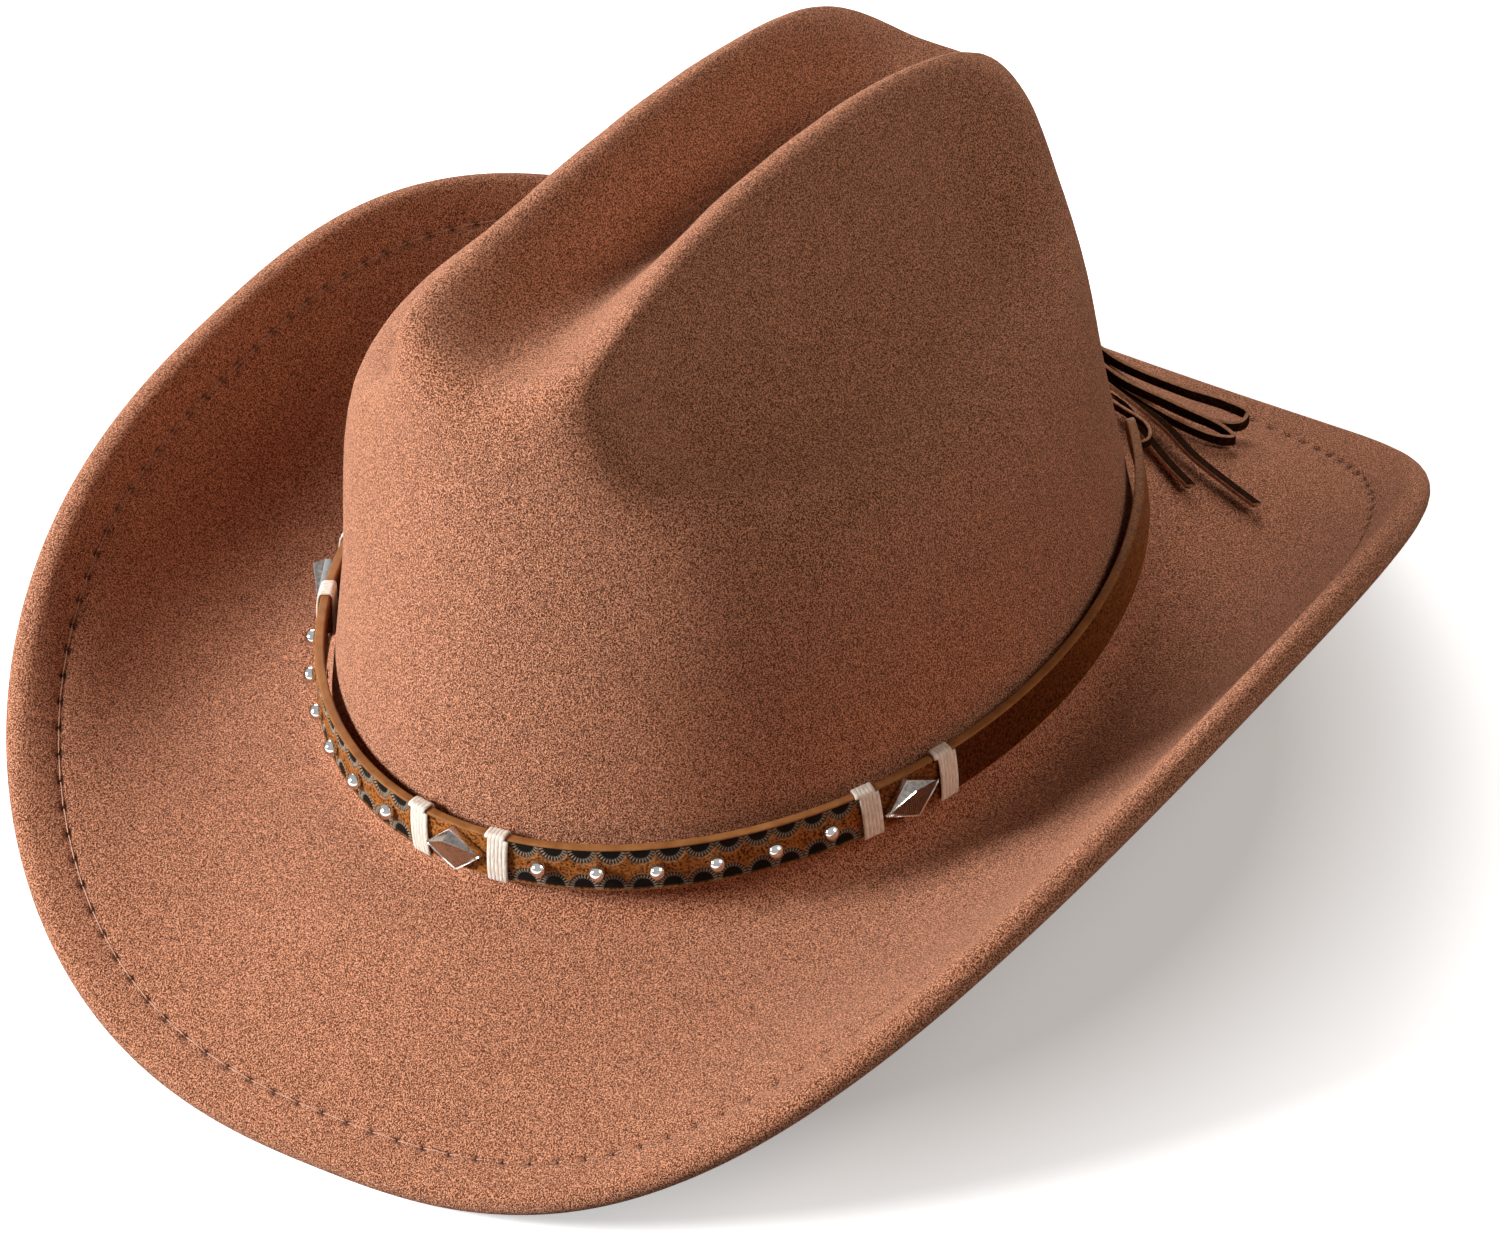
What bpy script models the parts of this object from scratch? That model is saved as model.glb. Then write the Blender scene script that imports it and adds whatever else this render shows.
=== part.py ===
"""Western felt hat with a creased crown, a curled and hemmed brim and a laced leather band.

Metres, +Z up, the front of the hat towards -Y and the wearer's left towards +X.  The origin is on the table
under the middle of the brim, which stands on its dipped front and back edges.  One object is one piece of the
hat.  Angles round the hat start at the front and grow towards the wearer's left.
"""

import math

import bmesh
import bpy
import numpy as np
from mathutils import Matrix

# Head oval, measured on the outside of the felt at the middle of the band
HEAD_WIDTH = 0.1650
HEAD_LENGTH = 0.2089
HEAD_SETBACK = 0.0090  # the head oval sits this far behind the middle of the brim
FELT = 0.0024
WALL_LEAN_FRONT = 0.188  # inward run of the crown wall for each unit of height
WALL_LEAN_SIDES = 0.160
WALL_LEAN_BACK = 0.043

# Brim
BRIM_WIDTH = 0.2863  # over the rolled edges
BRIM_FRONT = 0.1736  # from the widest line to the front edge
BRIM_BACK = 0.1512  # from the widest line to the back edge
BRIM_POWER = 0.771  # shape of the outline: 1 is an ellipse, less is squarer
SIDE_LIFT = 0.0644  # how far the side edges curl up above the front and back edges
BRIM_LEVEL = 0.0325  # height of the brim where it leaves the crown
BREAK_RUN = 0.0070  # outward run of the curve between crown and brim
BREAK_RISE = 0.0065  # height of that curve
BREAK_HANDLE = 0.6  # fullness of that curve
SLOPE_IN_ENDS = math.radians(-20)  # slope of the brim beside the crown, at front and back
SLOPE_IN_SIDES = math.radians(4)
SLOPE_OUT_ENDS = math.radians(-27)  # slope of the brim at its edge, at front and back
SLOPE_OUT_SIDES = math.radians(58)
FLAT_CUT = 0.0008  # the lowest part of the edge is pressed flat by this much

# Hem, folded under round a wire
HEM_FRONT = 0.0113  # from the edge to the stitch row, at the front
HEM_BACK = 0.0145
FLAP_PAST_STITCH = 0.0025
PLY_GAP = 0.0003
FOLD_LENGTH = 0.0070  # from the middle of the rolled edge to where the two plies lie flat
WIRE_RADIUS = 0.0005
SLEEVE_WALL = 0.0003
SLEEVE_LENGTH = 0.0100
WIRE_END_GAP = 0.0006
WIRE_PLAY = 0.00015  # between wire and sleeve
CHANNEL_PLAY = 0.00025  # between sleeve and felt
GROOVE_DEPTH = 0.0007  # how deep the stitches pull into the felt
GROOVE_WIDTH = 0.0026
THREAD_RADIUS = 0.0003
SEAT = 0.0003  # gap between pieces that touch

# Crown, with heights above the table and lengths from the middle of the head oval
SHOULDER_WIDTH = 0.8533 * HEAD_WIDTH
SHOULDER_FRONT = 0.4275 * HEAD_LENGTH
SHOULDER_BACK = 0.4864 * HEAD_LENGTH
SHOULDER_HEIGHT = 0.1120
SHOULDER_SLOPE = 0.0099  # rise of the shoulder line towards the front
SHOULDER_BOW = 0.0123
RIDGE_SPACING = 0.2303 * HEAD_WIDTH  # between the two crests
RIDGE_FLARE = 0.49  # extra spacing at the front, as a share
RIDGE_SQUARENESS = 2.97  # shape of the crest line: more is squarer at its two ends
RIDGE_FRONT = 0.3983 * HEAD_LENGTH
RIDGE_BACK = 0.4730 * HEAD_LENGTH
CREST_HEIGHT = 0.1677
CREST_SLOPE = 0.0087  # rise of the crests towards the front
CREST_BOW = 0.0126
BACK_DROP = 0.0168
FRONT_DIP = 0.0090  # how far the front lip lies below the crests
CREASE_DEPTH = 0.0194
CREASE_FRONT = 0.3542 * HEAD_LENGTH
CREASE_BACK = 0.4069 * HEAD_LENGTH
CREASE_BACK_DROP = 0.0060
SIDE_DENT = 0.0074  # hollow of each side, below a straight line from shoulder to crest
DENT_FRONT = 24  # the hollow lies between these angles, in degrees
DENT_BACK = 152
DENT_FRONT_FADE = 30  # degrees over which the hollow starts at the front
DENT_FADE = 35  # and over which it ends at the back
LEDGE_DEPTH = 0.0030  # extra depth of the hollow just above its lower edge
LEDGE_PLACE = 0.72  # where that lies, as a share of the way from crest to shoulder
LEDGE_WIDTH = 0.19
LEDGE_RISE = 0.20  # how much higher the lower edge lies at the front end of the hollow, as a share
LEDGE_RUN = 40  # degrees over which it comes down
FRONT_BULGE = 0.0015  # fullness of the front, above that line
BACK_BULGE = 0.0045

# Sweatband
RIBBON_HEIGHT = 0.0320
RIBBON_THICKNESS = 0.0008
RIBBON_SEAM = 0.0040  # from the lower edge to its stitch row
RIBBON_HEADROOM = 0.0010  # straight wall above the ribbon

# Band
BAND_RISE = 0.00285  # from the foot of the crown wall to the lower edge of the strap
STRAP_WIDTH = 0.0115
STRAP_THICKNESS = 0.0022
STRAP_LEAN = 0.06
STRAP_SHORT = 0.0580  # from each end of the strap to the back of the hat, along the strap
STRAP_END_RADIUS = 0.0040
STRAP_END_SHARES = (0.0, 0.1, 0.35, 1.0)  # places of the rings along a rounded end
STRAP_STEPS = 58
HOLE_PLAY = 0.0002
CONCHO_LENGTH = 0.0150
CONCHO_HEIGHT = 0.0112
CONCHO_RIM = 0.0014
CONCHO_RISE = 0.0030
CONCHO_PEAK = 0.0040  # how far the peak lies above the middle
CONCHO_TILTS = {"front": 5, "left": 11, "right": 5}  # degrees askew on the strap
CONCHO_TIP = 0.04  # the flat of the peak, as a share of the plate
CONCHO_POST = 0.0012
STUD_PITCH = 0.0132
STUD_MARGIN = 0.0074  # from the end of a winding to the middle of the nearest stud
STUD_COUNT = 6
STUD_RADIUS = 0.0019
STUD_RISE = 0.0026
STUD_DOME = ((0.35, 1.0), (0.85, 0.76), (1.0, 0.38), (0.86, 0.0))  # shares of that radius and rise
STUD_SHANK = 0.0006
CLINCH = 0.0005  # a shank spreads by this much behind the strap
TAIL_THICKNESS = 0.0003
WRAP_TURNS = 4
WRAP_PITCH = 0.00115
WRAP_RADIUS = 0.00034
LACE_RADIUS = 0.0012
LACE_STEP = 0.0060  # between points along a lace
LACE_LEAD = 0.0024  # a lace leaves the knot straight for this length
LACE_HOLE_INSET = 0.0060  # from the end of the strap
TIE_BEND = 0.0021  # radius of the bend where a lace comes out of its hole
TIE_LANDING = 0.0120  # past the end of the strap a lace takes this run to come down to the felt
TIE_GAP = 0.0008  # between these laces and the felt
TIE_SHARES = (0.0, 0.35, 0.7)  # places of the points along the crown, from there to the knot
KNOT_TURN = math.radians(8)  # the knot sits this far to the wearer's left of the back
KNOT_DROP = 0.0036  # the middle of the knot lies this far below that of the strap
KNOT_LENGTH = 0.0100  # round the hat
KNOT_WIDTH = 0.0092  # up the hat and out of it
KNOT_BEVEL = 0.0012
# Lines of the loose laces from the middle of the knot's left face: to the wearer's left, outwards and upwards
LACE_ROUTES = {
    "lace_loop_upper": [
        (0.0000, 0.0023, 0.0028),
        (0.0055, 0.0032, 0.0026),
        (0.0126, 0.0061, -0.0025),
        (0.0254, 0.0139, -0.0092),
        (0.0316, 0.0214, -0.0150),
        (0.0352, 0.0240, -0.0178),
        (0.0370, 0.0200, -0.0174),
        (0.0336, 0.0164, -0.0166),
        (0.0238, 0.0116, -0.0132),
        (0.0125, 0.0066, -0.0072),
        (0.0057, 0.0047, -0.0007),
        (0.0000, 0.0023, 0.0000),
    ],
    "lace_loop_lower": [
        (0.0000, -0.0005, 0.0028),
        (0.0065, 0.0003, 0.0020),
        (0.0168, 0.0029, -0.0038),
        (0.0268, 0.0087, -0.0096),
        (0.0376, 0.0138, -0.0145),
        (0.0414, 0.0131, -0.0150),
        (0.0393, 0.0100, -0.0140),
        (0.0271, 0.0070, -0.0122),
        (0.0160, 0.0041, -0.0078),
        (0.0065, 0.0029, -0.0041),
        (0.0000, 0.0023, -0.0028),
    ],
    "lace_tail_long": [
        (0.0000, -0.0005, 0.0000),
        (0.0077, -0.0009, -0.0010),
        (0.0167, 0.0000, -0.0040),
        (0.0246, 0.0012, -0.0068),
        (0.0322, 0.0013, -0.0090),
        (0.0420, -0.0008, -0.0107),
        (0.0568, -0.0034, -0.0110),
        (0.0661, -0.0056, -0.0100),
    ],
    "lace_tail_short": [
        (0.0000, -0.0005, -0.0028),
        (0.0077, -0.0008, -0.0044),
        (0.0178, 0.0007, -0.0082),
        (0.0298, -0.0032, -0.0100),
        (0.0397, -0.0067, -0.0104),
        (0.0495, -0.0098, -0.0102),
    ],
}

COLUMNS = 56  # steps round the hat
EDGE_STEPS = 6  # steps round the rolled edge
CHANNEL_STEPS = 5
ROUND_SIDES = 8  # sides of studs, posts and the wire sleeve
HOLE_SIDES = 10
NEARBY = 1e-4  # a small step, for finding directions

FELT_COLOUR = (0.30, 0.11, 0.055)
STEEL_COLOUR = (0.55, 0.55, 0.56)
BRASS_COLOUR = (0.60, 0.42, 0.20)
THREAD_COLOUR = (0.12, 0.045, 0.025)
RIBBON_COLOUR = (0.03, 0.02, 0.016)
LEATHER_COLOUR = (0.17, 0.075, 0.035)
NICKEL_COLOUR = (0.62, 0.60, 0.57)
CORD_COLOUR = (0.72, 0.68, 0.60)
LACE_COLOUR = (0.07, 0.03, 0.018)

# Sizes that follow from the ones above
CHANNEL_RADIUS = WIRE_RADIUS + WIRE_PLAY + SLEEVE_WALL + CHANNEL_PLAY
EDGE_RADIUS = FELT + CHANNEL_RADIUS
WALL_FOOT = BRIM_LEVEL + BREAK_RISE
WALL_TOP = WALL_FOOT + RIBBON_HEIGHT + RIBBON_HEADROOM  # the crown wall is straight up to this height
BAND_HEIGHT = WALL_FOOT + BAND_RISE + STRAP_WIDTH / 2  # middle of the strap
KNOT_HEIGHT = BAND_HEIGHT - KNOT_DROP
STRAP_GAP = 2 * (SEAT + WRAP_RADIUS)  # room for the windings between the lower edge of the strap and the felt
BRIM_WIDEST = (BRIM_FRONT - BRIM_BACK) / 2
WRAP_HALF_WIDTH = WRAP_PITCH * WRAP_TURNS / 2 + WRAP_RADIUS
WRAP_OFFSET = CONCHO_LENGTH / 2 + SEAT + WRAP_HALF_WIDTH  # from the middle of a concho to that of a winding
STUD_FIRST = WRAP_OFFSET + WRAP_HALF_WIDTH + STUD_MARGIN  # from the front concho to the first stud
CONCHO_SPACING = 2 * STUD_FIRST + STUD_PITCH * (STUD_COUNT - 1)  # along the strap


def vector(xy, z):
    return np.array([xy[0], xy[1], z])


def column_angles(count):
    """Angles that lie evenly on both sides of the front and the back."""
    return [(index + 0.5) * math.tau / count for index in range(count)]


def oval(angle, half_width, front, back, centre_y, power_x=1.0, power_y=1.0):
    """A point of an oval outline, in plan."""
    s, c = math.sin(angle), math.cos(angle)
    x = half_width * math.copysign(abs(s) ** power_x, s)
    y = centre_y - (front if c > 0 else back) * math.copysign(abs(c) ** power_y, c)
    return np.array([x, y])


def outward(angle, half_width, half_length):
    """The direction straight out of an ellipse, in plan."""
    direction = np.array([math.sin(angle) / half_width, -math.cos(angle) / half_length])
    return direction / np.linalg.norm(direction)


def by_side(angle, ends, sides):
    """A value that is one thing at front and back and another at the sides."""
    return ends + (sides - ends) * (1 - math.cos(2 * angle)) / 2


def smooth(value):
    value = min(max(value, 0.0), 1.0)
    return value * value * (3 - 2 * value)


def bezier(start, handle_start, handle_end, end, count):
    """Points along a cubic curve, without its first point."""
    points = []
    for step in range(1, count + 1):
        t = step / count
        u = 1 - t
        points.append(u**3 * start + 3 * u * u * t * handle_start + 3 * u * t * t * handle_end + t**3 * end)
    return points


def spline(points, first_tangent, last_tangent, steps):
    """A smooth curve through points, with a count of steps for each stretch."""
    points = [np.asarray(point, float) for point in points]
    lengths = [math.sqrt(np.linalg.norm(b - a)) for a, b in zip(points, points[1:])]
    slopes = [(b - a) / length for a, b, length in zip(points, points[1:], lengths)]
    tangents = [np.asarray(first_tangent, float) / lengths[0]]
    for index in range(1, len(points) - 1):
        before, after = lengths[index - 1], lengths[index]
        tangents.append((slopes[index - 1] * after + slopes[index] * before) / (before + after))
    tangents.append(np.asarray(last_tangent, float) / lengths[-1])
    curve = [points[0]]
    for index, length in enumerate(lengths):
        handle_start = points[index] + tangents[index] * length / 3
        handle_end = points[index + 1] - tangents[index + 1] * length / 3
        curve += bezier(points[index], handle_start, handle_end, points[index + 1], steps[index])
    return curve


# Felt body

def wall_point(angle, height, out=0.0):
    """A point of the crown wall, or this far outside it."""
    above = height - BAND_HEIGHT
    half_width = HEAD_WIDTH / 2 - WALL_LEAN_SIDES * above + out
    front = HEAD_LENGTH / 2 - WALL_LEAN_FRONT * above + out
    back = HEAD_LENGTH / 2 - WALL_LEAN_BACK * above + out
    return vector(oval(angle, half_width, front, back, HEAD_SETBACK), height)


def crest_height(c):
    return CREST_HEIGHT + CREST_SLOPE * c - CREST_BOW * c * c - BACK_DROP * max(0.0, -c) ** 6


def crease_height(c):
    return CREST_HEIGHT - CREASE_DEPTH + CREST_SLOPE * c - CREASE_BACK_DROP * max(0.0, -c) ** 2


def crown_profile(angle, steps):
    """The outside of the crown from the bottom of the crease, over a crest, to the top of the wall."""
    c = math.cos(angle)
    reach = CREASE_FRONT if c > 0 else CREASE_BACK
    crease = np.array([0.0, HEAD_SETBACK - reach * c, crease_height(c)])
    half_spacing = RIDGE_SPACING / 2 * (1 + RIDGE_FLARE * max(0.0, c) ** 2)
    crest_xy = oval(angle, half_spacing, RIDGE_FRONT, RIDGE_BACK, HEAD_SETBACK)
    crest_xy[0] = half_spacing * math.tanh(RIDGE_SQUARENESS * math.sin(angle)) / math.tanh(RIDGE_SQUARENESS)
    dip = FRONT_DIP * (1 - smooth(abs(crest_xy[0]) / half_spacing)) if c > 0 else 0.0
    crest = vector(crest_xy, crest_height(c) - dip)
    shoulder_xy = oval(angle, SHOULDER_WIDTH / 2, SHOULDER_FRONT, SHOULDER_BACK, HEAD_SETBACK)
    shoulder = vector(shoulder_xy, SHOULDER_HEIGHT + SHOULDER_SLOPE * c + SHOULDER_BOW * c * c)
    wall_top = wall_point(angle, WALL_TOP)
    run = crest - shoulder
    level = run * (1, 1, 0)
    level_length = np.linalg.norm(level)
    slope_normal = np.array([0, 0, level_length]) - level / level_length * run[2]
    slope_normal /= np.linalg.norm(slope_normal)
    turn = math.degrees(math.acos(c))
    dent = smooth((turn - DENT_FRONT) / DENT_FRONT_FADE) * smooth((DENT_BACK - turn) / DENT_FADE)
    bulge = FRONT_BULGE if c > 0 else BACK_BULGE
    middle = (crest + shoulder) / 2 + slope_normal * (bulge * (1 - dent) - SIDE_DENT * dent)
    nearby = 0.01
    crease_slope = (crease_height(c) - crease_height(c - nearby)) / (-reach * nearby)
    first = (crest - crease) * (1, 1, 0)
    first[2] = crease_slope * first[1]
    last = wall_point(angle, WALL_TOP) - wall_point(angle, WALL_FOOT)
    last *= -np.linalg.norm(wall_top - shoulder) / np.linalg.norm(last)
    profile = spline([crease, crest, middle, shoulder, wall_top], first, last, steps)
    hollow_steps = steps[1] + steps[2]
    ledge = LEDGE_PLACE - LEDGE_RISE * (1 - smooth((turn - DENT_FRONT) / LEDGE_RUN))
    for step in range(1, hollow_steps):
        past = (step / hollow_steps - ledge) / LEDGE_WIDTH
        profile[steps[0] + step] -= slope_normal * LEDGE_DEPTH * dent * math.exp(-past * past)
    return profile


def brim_outline(angle):
    return oval(angle, BRIM_WIDTH / 2, BRIM_FRONT, BRIM_BACK, BRIM_WIDEST, BRIM_POWER, BRIM_POWER)


def edge_frame(angle):
    """The middle of the rolled edge, and the directions out along the brim and up through it."""
    outline, ahead = brim_outline(angle), brim_outline(angle + NEARBY)
    along = (ahead - outline) / np.linalg.norm(ahead - outline)
    out = np.array([along[1], -along[0], 0.0])
    slope = by_side(angle, SLOPE_OUT_ENDS, SLOPE_OUT_SIDES)
    height = EDGE_RADIUS - FLAT_CUT + by_side(angle, 0.0, SIDE_LIFT)
    centre = vector(outline, height) - out * EDGE_RADIUS
    up = np.array([0.0, 0.0, 1.0])
    return centre, out * math.cos(slope) + up * math.sin(slope), up * math.cos(slope) - out * math.sin(slope)


def hem_point(angle, out, up):
    centre, along, normal = edge_frame(angle)
    return centre + along * out + normal * up


def stitch_place(angle):
    """Where the stitch row lies, out from the middle of the rolled edge; the hem widens towards the back."""
    share = (1 - math.cos(angle)) / 2
    return EDGE_RADIUS - HEM_FRONT - (HEM_BACK - HEM_FRONT) * share * share


def brim_profile(angle, break_steps, brim_steps):
    """The top of the brim from the foot of the crown wall to the inner end of the hem."""
    foot = wall_point(angle, WALL_FOOT)
    down = foot - wall_point(angle, WALL_TOP)
    down /= np.linalg.norm(down)
    out = vector(outward(angle, HEAD_WIDTH / 2, HEAD_LENGTH / 2), 0.0)
    slope = by_side(angle, SLOPE_IN_ENDS, SLOPE_IN_SIDES)
    leave = out * math.cos(slope) + np.array([0.0, 0.0, math.sin(slope)])
    start = foot + out * BREAK_RUN
    start[2] = BRIM_LEVEL
    hem_end = hem_point(angle, stitch_place(angle) - FLAP_PAST_STITCH, EDGE_RADIUS)
    arrive = edge_frame(angle)[1]
    reach = np.linalg.norm(hem_end - start) / 3
    handles = foot + down * BREAK_RISE * BREAK_HANDLE, start - leave * BREAK_RUN * BREAK_HANDLE
    curve = [foot] + bezier(foot, *handles, start, break_steps)
    return curve + bezier(start, start + leave * reach, hem_end - arrive * reach, hem_end, brim_steps)


def hem_section(angle):
    """The folded hem in section, from the inner end of its top, round the edge, to that place underneath."""
    stitch = stitch_place(angle)
    flap_end = stitch - FLAP_PAST_STITCH
    under = EDGE_RADIUS - FELT
    flap_top = under - PLY_GAP
    flap_low = flap_top - FELT
    points = [(stitch - GROOVE_WIDTH / 2, EDGE_RADIUS), (stitch, EDGE_RADIUS - GROOVE_DEPTH)]
    points += [(stitch + GROOVE_WIDTH / 2, EDGE_RADIUS)]
    for step in range(EDGE_STEPS + 1):
        turn = math.pi * step / EDGE_STEPS
        points.append((EDGE_RADIUS * math.sin(turn), EDGE_RADIUS * math.cos(turn)))
    points += [(-FOLD_LENGTH, flap_low), (flap_end, flap_low), (flap_end, flap_top), (-FOLD_LENGTH, flap_top)]
    lip = math.acos(flap_top / CHANNEL_RADIUS)
    for step in range(CHANNEL_STEPS + 1):
        turn = (math.tau - lip) * (1 - step / CHANNEL_STEPS)
        points.append((CHANNEL_RADIUS * math.sin(turn), CHANNEL_RADIUS * math.cos(turn)))
    return points + [(flap_end, under)]


def felt_columns(angles, crown_steps, break_steps, brim_steps):
    """The top skin of the felt, one row of points for each angle, from crease to hem."""
    columns = []
    for angle in angles:
        crown = crown_profile(angle, crown_steps)
        columns.append(crown + brim_profile(angle, break_steps, brim_steps))
    return np.array(columns)


def skin_normals(skin):
    """Directions straight out of the top skin; the two halves of the crown pair up at the crease."""
    round_hat = np.roll(skin, -1, axis=0) - np.roll(skin, 1, axis=0)
    beyond_crease = skin[::-1, 1:2]
    beyond_hem = 2 * skin[:, -1:] - skin[:, -2:-1]
    padded = np.concatenate([beyond_crease, skin, beyond_hem], axis=1)
    normals = np.cross(padded[:, 2:] - padded[:, :-2], round_hat)
    return normals / np.linalg.norm(normals, axis=2, keepdims=True)


def felt_body():
    angles = column_angles(COLUMNS)
    skin = felt_columns(angles, crown_steps=(3, 2, 2, 2), break_steps=2, brim_steps=4)
    lining = skin - skin_normals(skin) * FELT
    sections = []
    for angle, top, under in zip(angles, skin, lining):
        edge = [hem_point(angle, *place) for place in hem_section(angle)]
        section = np.array(list(top) + edge + list(under[-2::-1]))
        section[:, 2] = np.maximum(section[:, 2], 0.0)
        sections.append(section)
    mesh = bmesh.new()
    grid = [[None] * len(sections[0]) for _ in angles]
    last = len(sections[0]) - 1
    for column, section in enumerate(sections):
        for row, place in enumerate(section):
            partner = grid[COLUMNS - 1 - column][row]
            shared = row in (0, last) and partner is not None
            grid[column][row] = partner if shared else mesh.verts.new(place)
    for column in range(COLUMNS):
        beside = (column + 1) % COLUMNS
        for row in range(last):
            corners = [grid[column][row], grid[column][row + 1], grid[beside][row + 1], grid[beside][row]]
            mesh.faces.new(dict.fromkeys(corners))
    return add_mesh("felt_body", mesh, felt_material)


# Making objects

def material(name, colour, roughness, metallic=0.0):
    made = bpy.data.materials.new(name)
    made.use_nodes = True
    shader = made.node_tree.nodes["Principled BSDF"]
    shader.inputs["Base Color"].default_value = (*colour, 1.0)
    shader.inputs["Roughness"].default_value = roughness
    shader.inputs["Metallic"].default_value = metallic
    return made


def add_object(name, data, look, parent=None):
    made = bpy.data.objects.new(name, data)
    bpy.context.scene.collection.objects.link(made)
    data.materials.append(look)
    if parent:
        made.parent = parent
        made.matrix_parent_inverse = Matrix.Translation(-parent.location)
    return made


def add_mesh(name, mesh, look, parent=None, rounded=True):
    data = bpy.data.meshes.new(name)
    bmesh.ops.recalc_face_normals(mesh, faces=mesh.faces)
    mesh.to_mesh(data)
    mesh.free()
    if rounded:
        data.shade_smooth()
    return add_object(name, data, look, parent)


def add_loft(name, rings, look, parent=None, closed=False, rounded=True):
    """A solid skinned over rings of points; the run of rings is capped at both ends, or closes on itself."""
    mesh = bmesh.new()
    skin_rings(mesh, rings, closed)
    return add_mesh(name, mesh, look, parent, rounded)


def skin_rings(mesh, rings, closed=False):
    loops = [[mesh.verts.new(point) for point in ring] for ring in rings]
    pairs = list(zip(loops, loops[1:]))
    if closed:
        pairs.append((loops[-1], loops[0]))
    else:
        mesh.faces.new(loops[0])
        mesh.faces.new(reversed(loops[-1]))
    for one, two in pairs:
        for index in range(len(one)):
            after = (index + 1) % len(one)
            mesh.faces.new([one[after], one[index], two[index], two[after]])


def add_tube(name, points, radius, look, parent=None, detail=1, closed=False):
    """A round thread, wire or lace along a line of points."""
    data = bpy.data.curves.new(name, "CURVE")
    data.dimensions = "3D"
    data.bevel_depth = radius
    data.bevel_resolution = detail
    data.use_fill_caps = not closed
    line = data.splines.new("POLY")
    line.points.add(len(points) - 1)
    for point, place in zip(line.points, points):
        point.co = (*place, 1.0)
    line.use_cyclic_u = closed
    return add_object(name, data, look, parent)


# Hem and sweatband pieces

def brim_wire():
    step = math.tau / COLUMNS
    before, after = hem_point(math.pi - step / 2, 0, 0), hem_point(math.pi + step / 2, 0, 0)
    middle = (before + after) / 2
    along = (after - before) / np.linalg.norm(after - before)
    angles = column_angles(COLUMNS)
    half = COLUMNS // 2
    route = [middle + along * WIRE_END_GAP / 2]
    route += [hem_point(angle, 0, 0) for angle in angles[half:] + angles[:half]]
    route += [middle - along * WIRE_END_GAP / 2]
    add_tube("brim_wire", route, WIRE_RADIUS, steel_material)
    up = edge_frame(math.pi)[2]
    out = np.cross(along, up)
    rings = []
    for side in range(ROUND_SIDES):
        turn = math.tau * side / ROUND_SIDES
        spoke = up * math.cos(turn) + out * math.sin(turn)
        inner = spoke * (WIRE_RADIUS + WIRE_PLAY)
        outer = spoke * (WIRE_RADIUS + WIRE_PLAY + SLEEVE_WALL)
        ends = along * SLEEVE_LENGTH / 2
        rings.append([middle + place for place in (inner - ends, inner + ends, outer + ends, outer - ends)])
    add_loft("brim_wire_sleeve", rings, brass_material, closed=True)


def hem_thread():
    lift = EDGE_RADIUS - GROOVE_DEPTH + SEAT + THREAD_RADIUS
    route = [hem_point(angle, stitch_place(angle), lift) for angle in column_angles(COLUMNS)]
    add_tube("hem_thread", route, THREAD_RADIUS, thread_material, detail=0, closed=True)


def sweatband():
    low, high = WALL_FOOT, WALL_FOOT + RIBBON_HEIGHT
    outer = -(FELT * math.hypot(1, WALL_LEAN_FRONT) + SEAT)
    inner = outer - RIBBON_THICKNESS
    corners = ((low, outer), (high, outer), (high, inner), (low, inner))
    angles = column_angles(COLUMNS)
    rings = [[wall_point(angle, height, out) for height, out in corners] for angle in angles]
    add_loft("sweatband", rings, ribbon_material, closed=True)
    seam = inner - SEAT - THREAD_RADIUS
    route = [wall_point(angle, low + RIBBON_SEAM, seam) for angle in angles]
    add_tube("sweatband_thread", route, THREAD_RADIUS, thread_material, detail=0, closed=True)


# Band

def strap_point(angle, depth, height):
    """A point of the strap: depth grows outwards from its inner face, height upwards from its middle."""
    out = STRAP_GAP + depth + WALL_LEAN_FRONT * STRAP_WIDTH / 2 - STRAP_LEAN * (height + STRAP_WIDTH / 2)
    half_width, half_length = HEAD_WIDTH / 2 + out, HEAD_LENGTH / 2 + out
    return vector(oval(angle, half_width, half_length, half_length, HEAD_SETBACK), BAND_HEIGHT + height)


def strap_lengths(angles):
    """Lengths along the outer face of the strap from the front to each angle."""
    places = np.array([strap_point(angle, STRAP_THICKNESS, 0) for angle in angles])
    return np.concatenate([[0.0], np.cumsum(np.linalg.norm(np.diff(places, axis=0), axis=1))])


HALF_TURN = np.linspace(0, math.pi, 1001)
HALF_TURN_LENGTHS = strap_lengths(HALF_TURN)
STRAP_HALF_LENGTH = HALF_TURN_LENGTHS[-1] - STRAP_SHORT


def angle_at(length):
    """The angle at a length along the strap; lengths to the wearer's right are negative."""
    return math.copysign(np.interp(abs(length), HALF_TURN_LENGTHS, HALF_TURN), length)


def strap_frame(length):
    """A place in the middle of the strap's outer face, with the directions along it, up it and out of it."""
    angle = angle_at(length)
    along = strap_point(angle + NEARBY, STRAP_THICKNESS, 0) - strap_point(angle - NEARBY, STRAP_THICKNESS, 0)
    up = strap_point(angle, STRAP_THICKNESS, NEARBY) - strap_point(angle, STRAP_THICKNESS, -NEARBY)
    along, up = along / np.linalg.norm(along), up / np.linalg.norm(up)
    return strap_point(angle, STRAP_THICKNESS, 0), along, up, np.cross(along, up)


def on_strap(length, points):
    """Points given along, up and out from a place on the strap, in the hat's frame."""
    place, along, up, out = strap_frame(length)
    return [place + along * a + up * u + out * o for a, u, o in points]


def circle(radius, out, sides=ROUND_SIDES):
    turns = [math.tau * side / sides for side in range(sides)]
    return [(radius * math.cos(turn), radius * math.sin(turn), out) for turn in turns]


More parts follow.
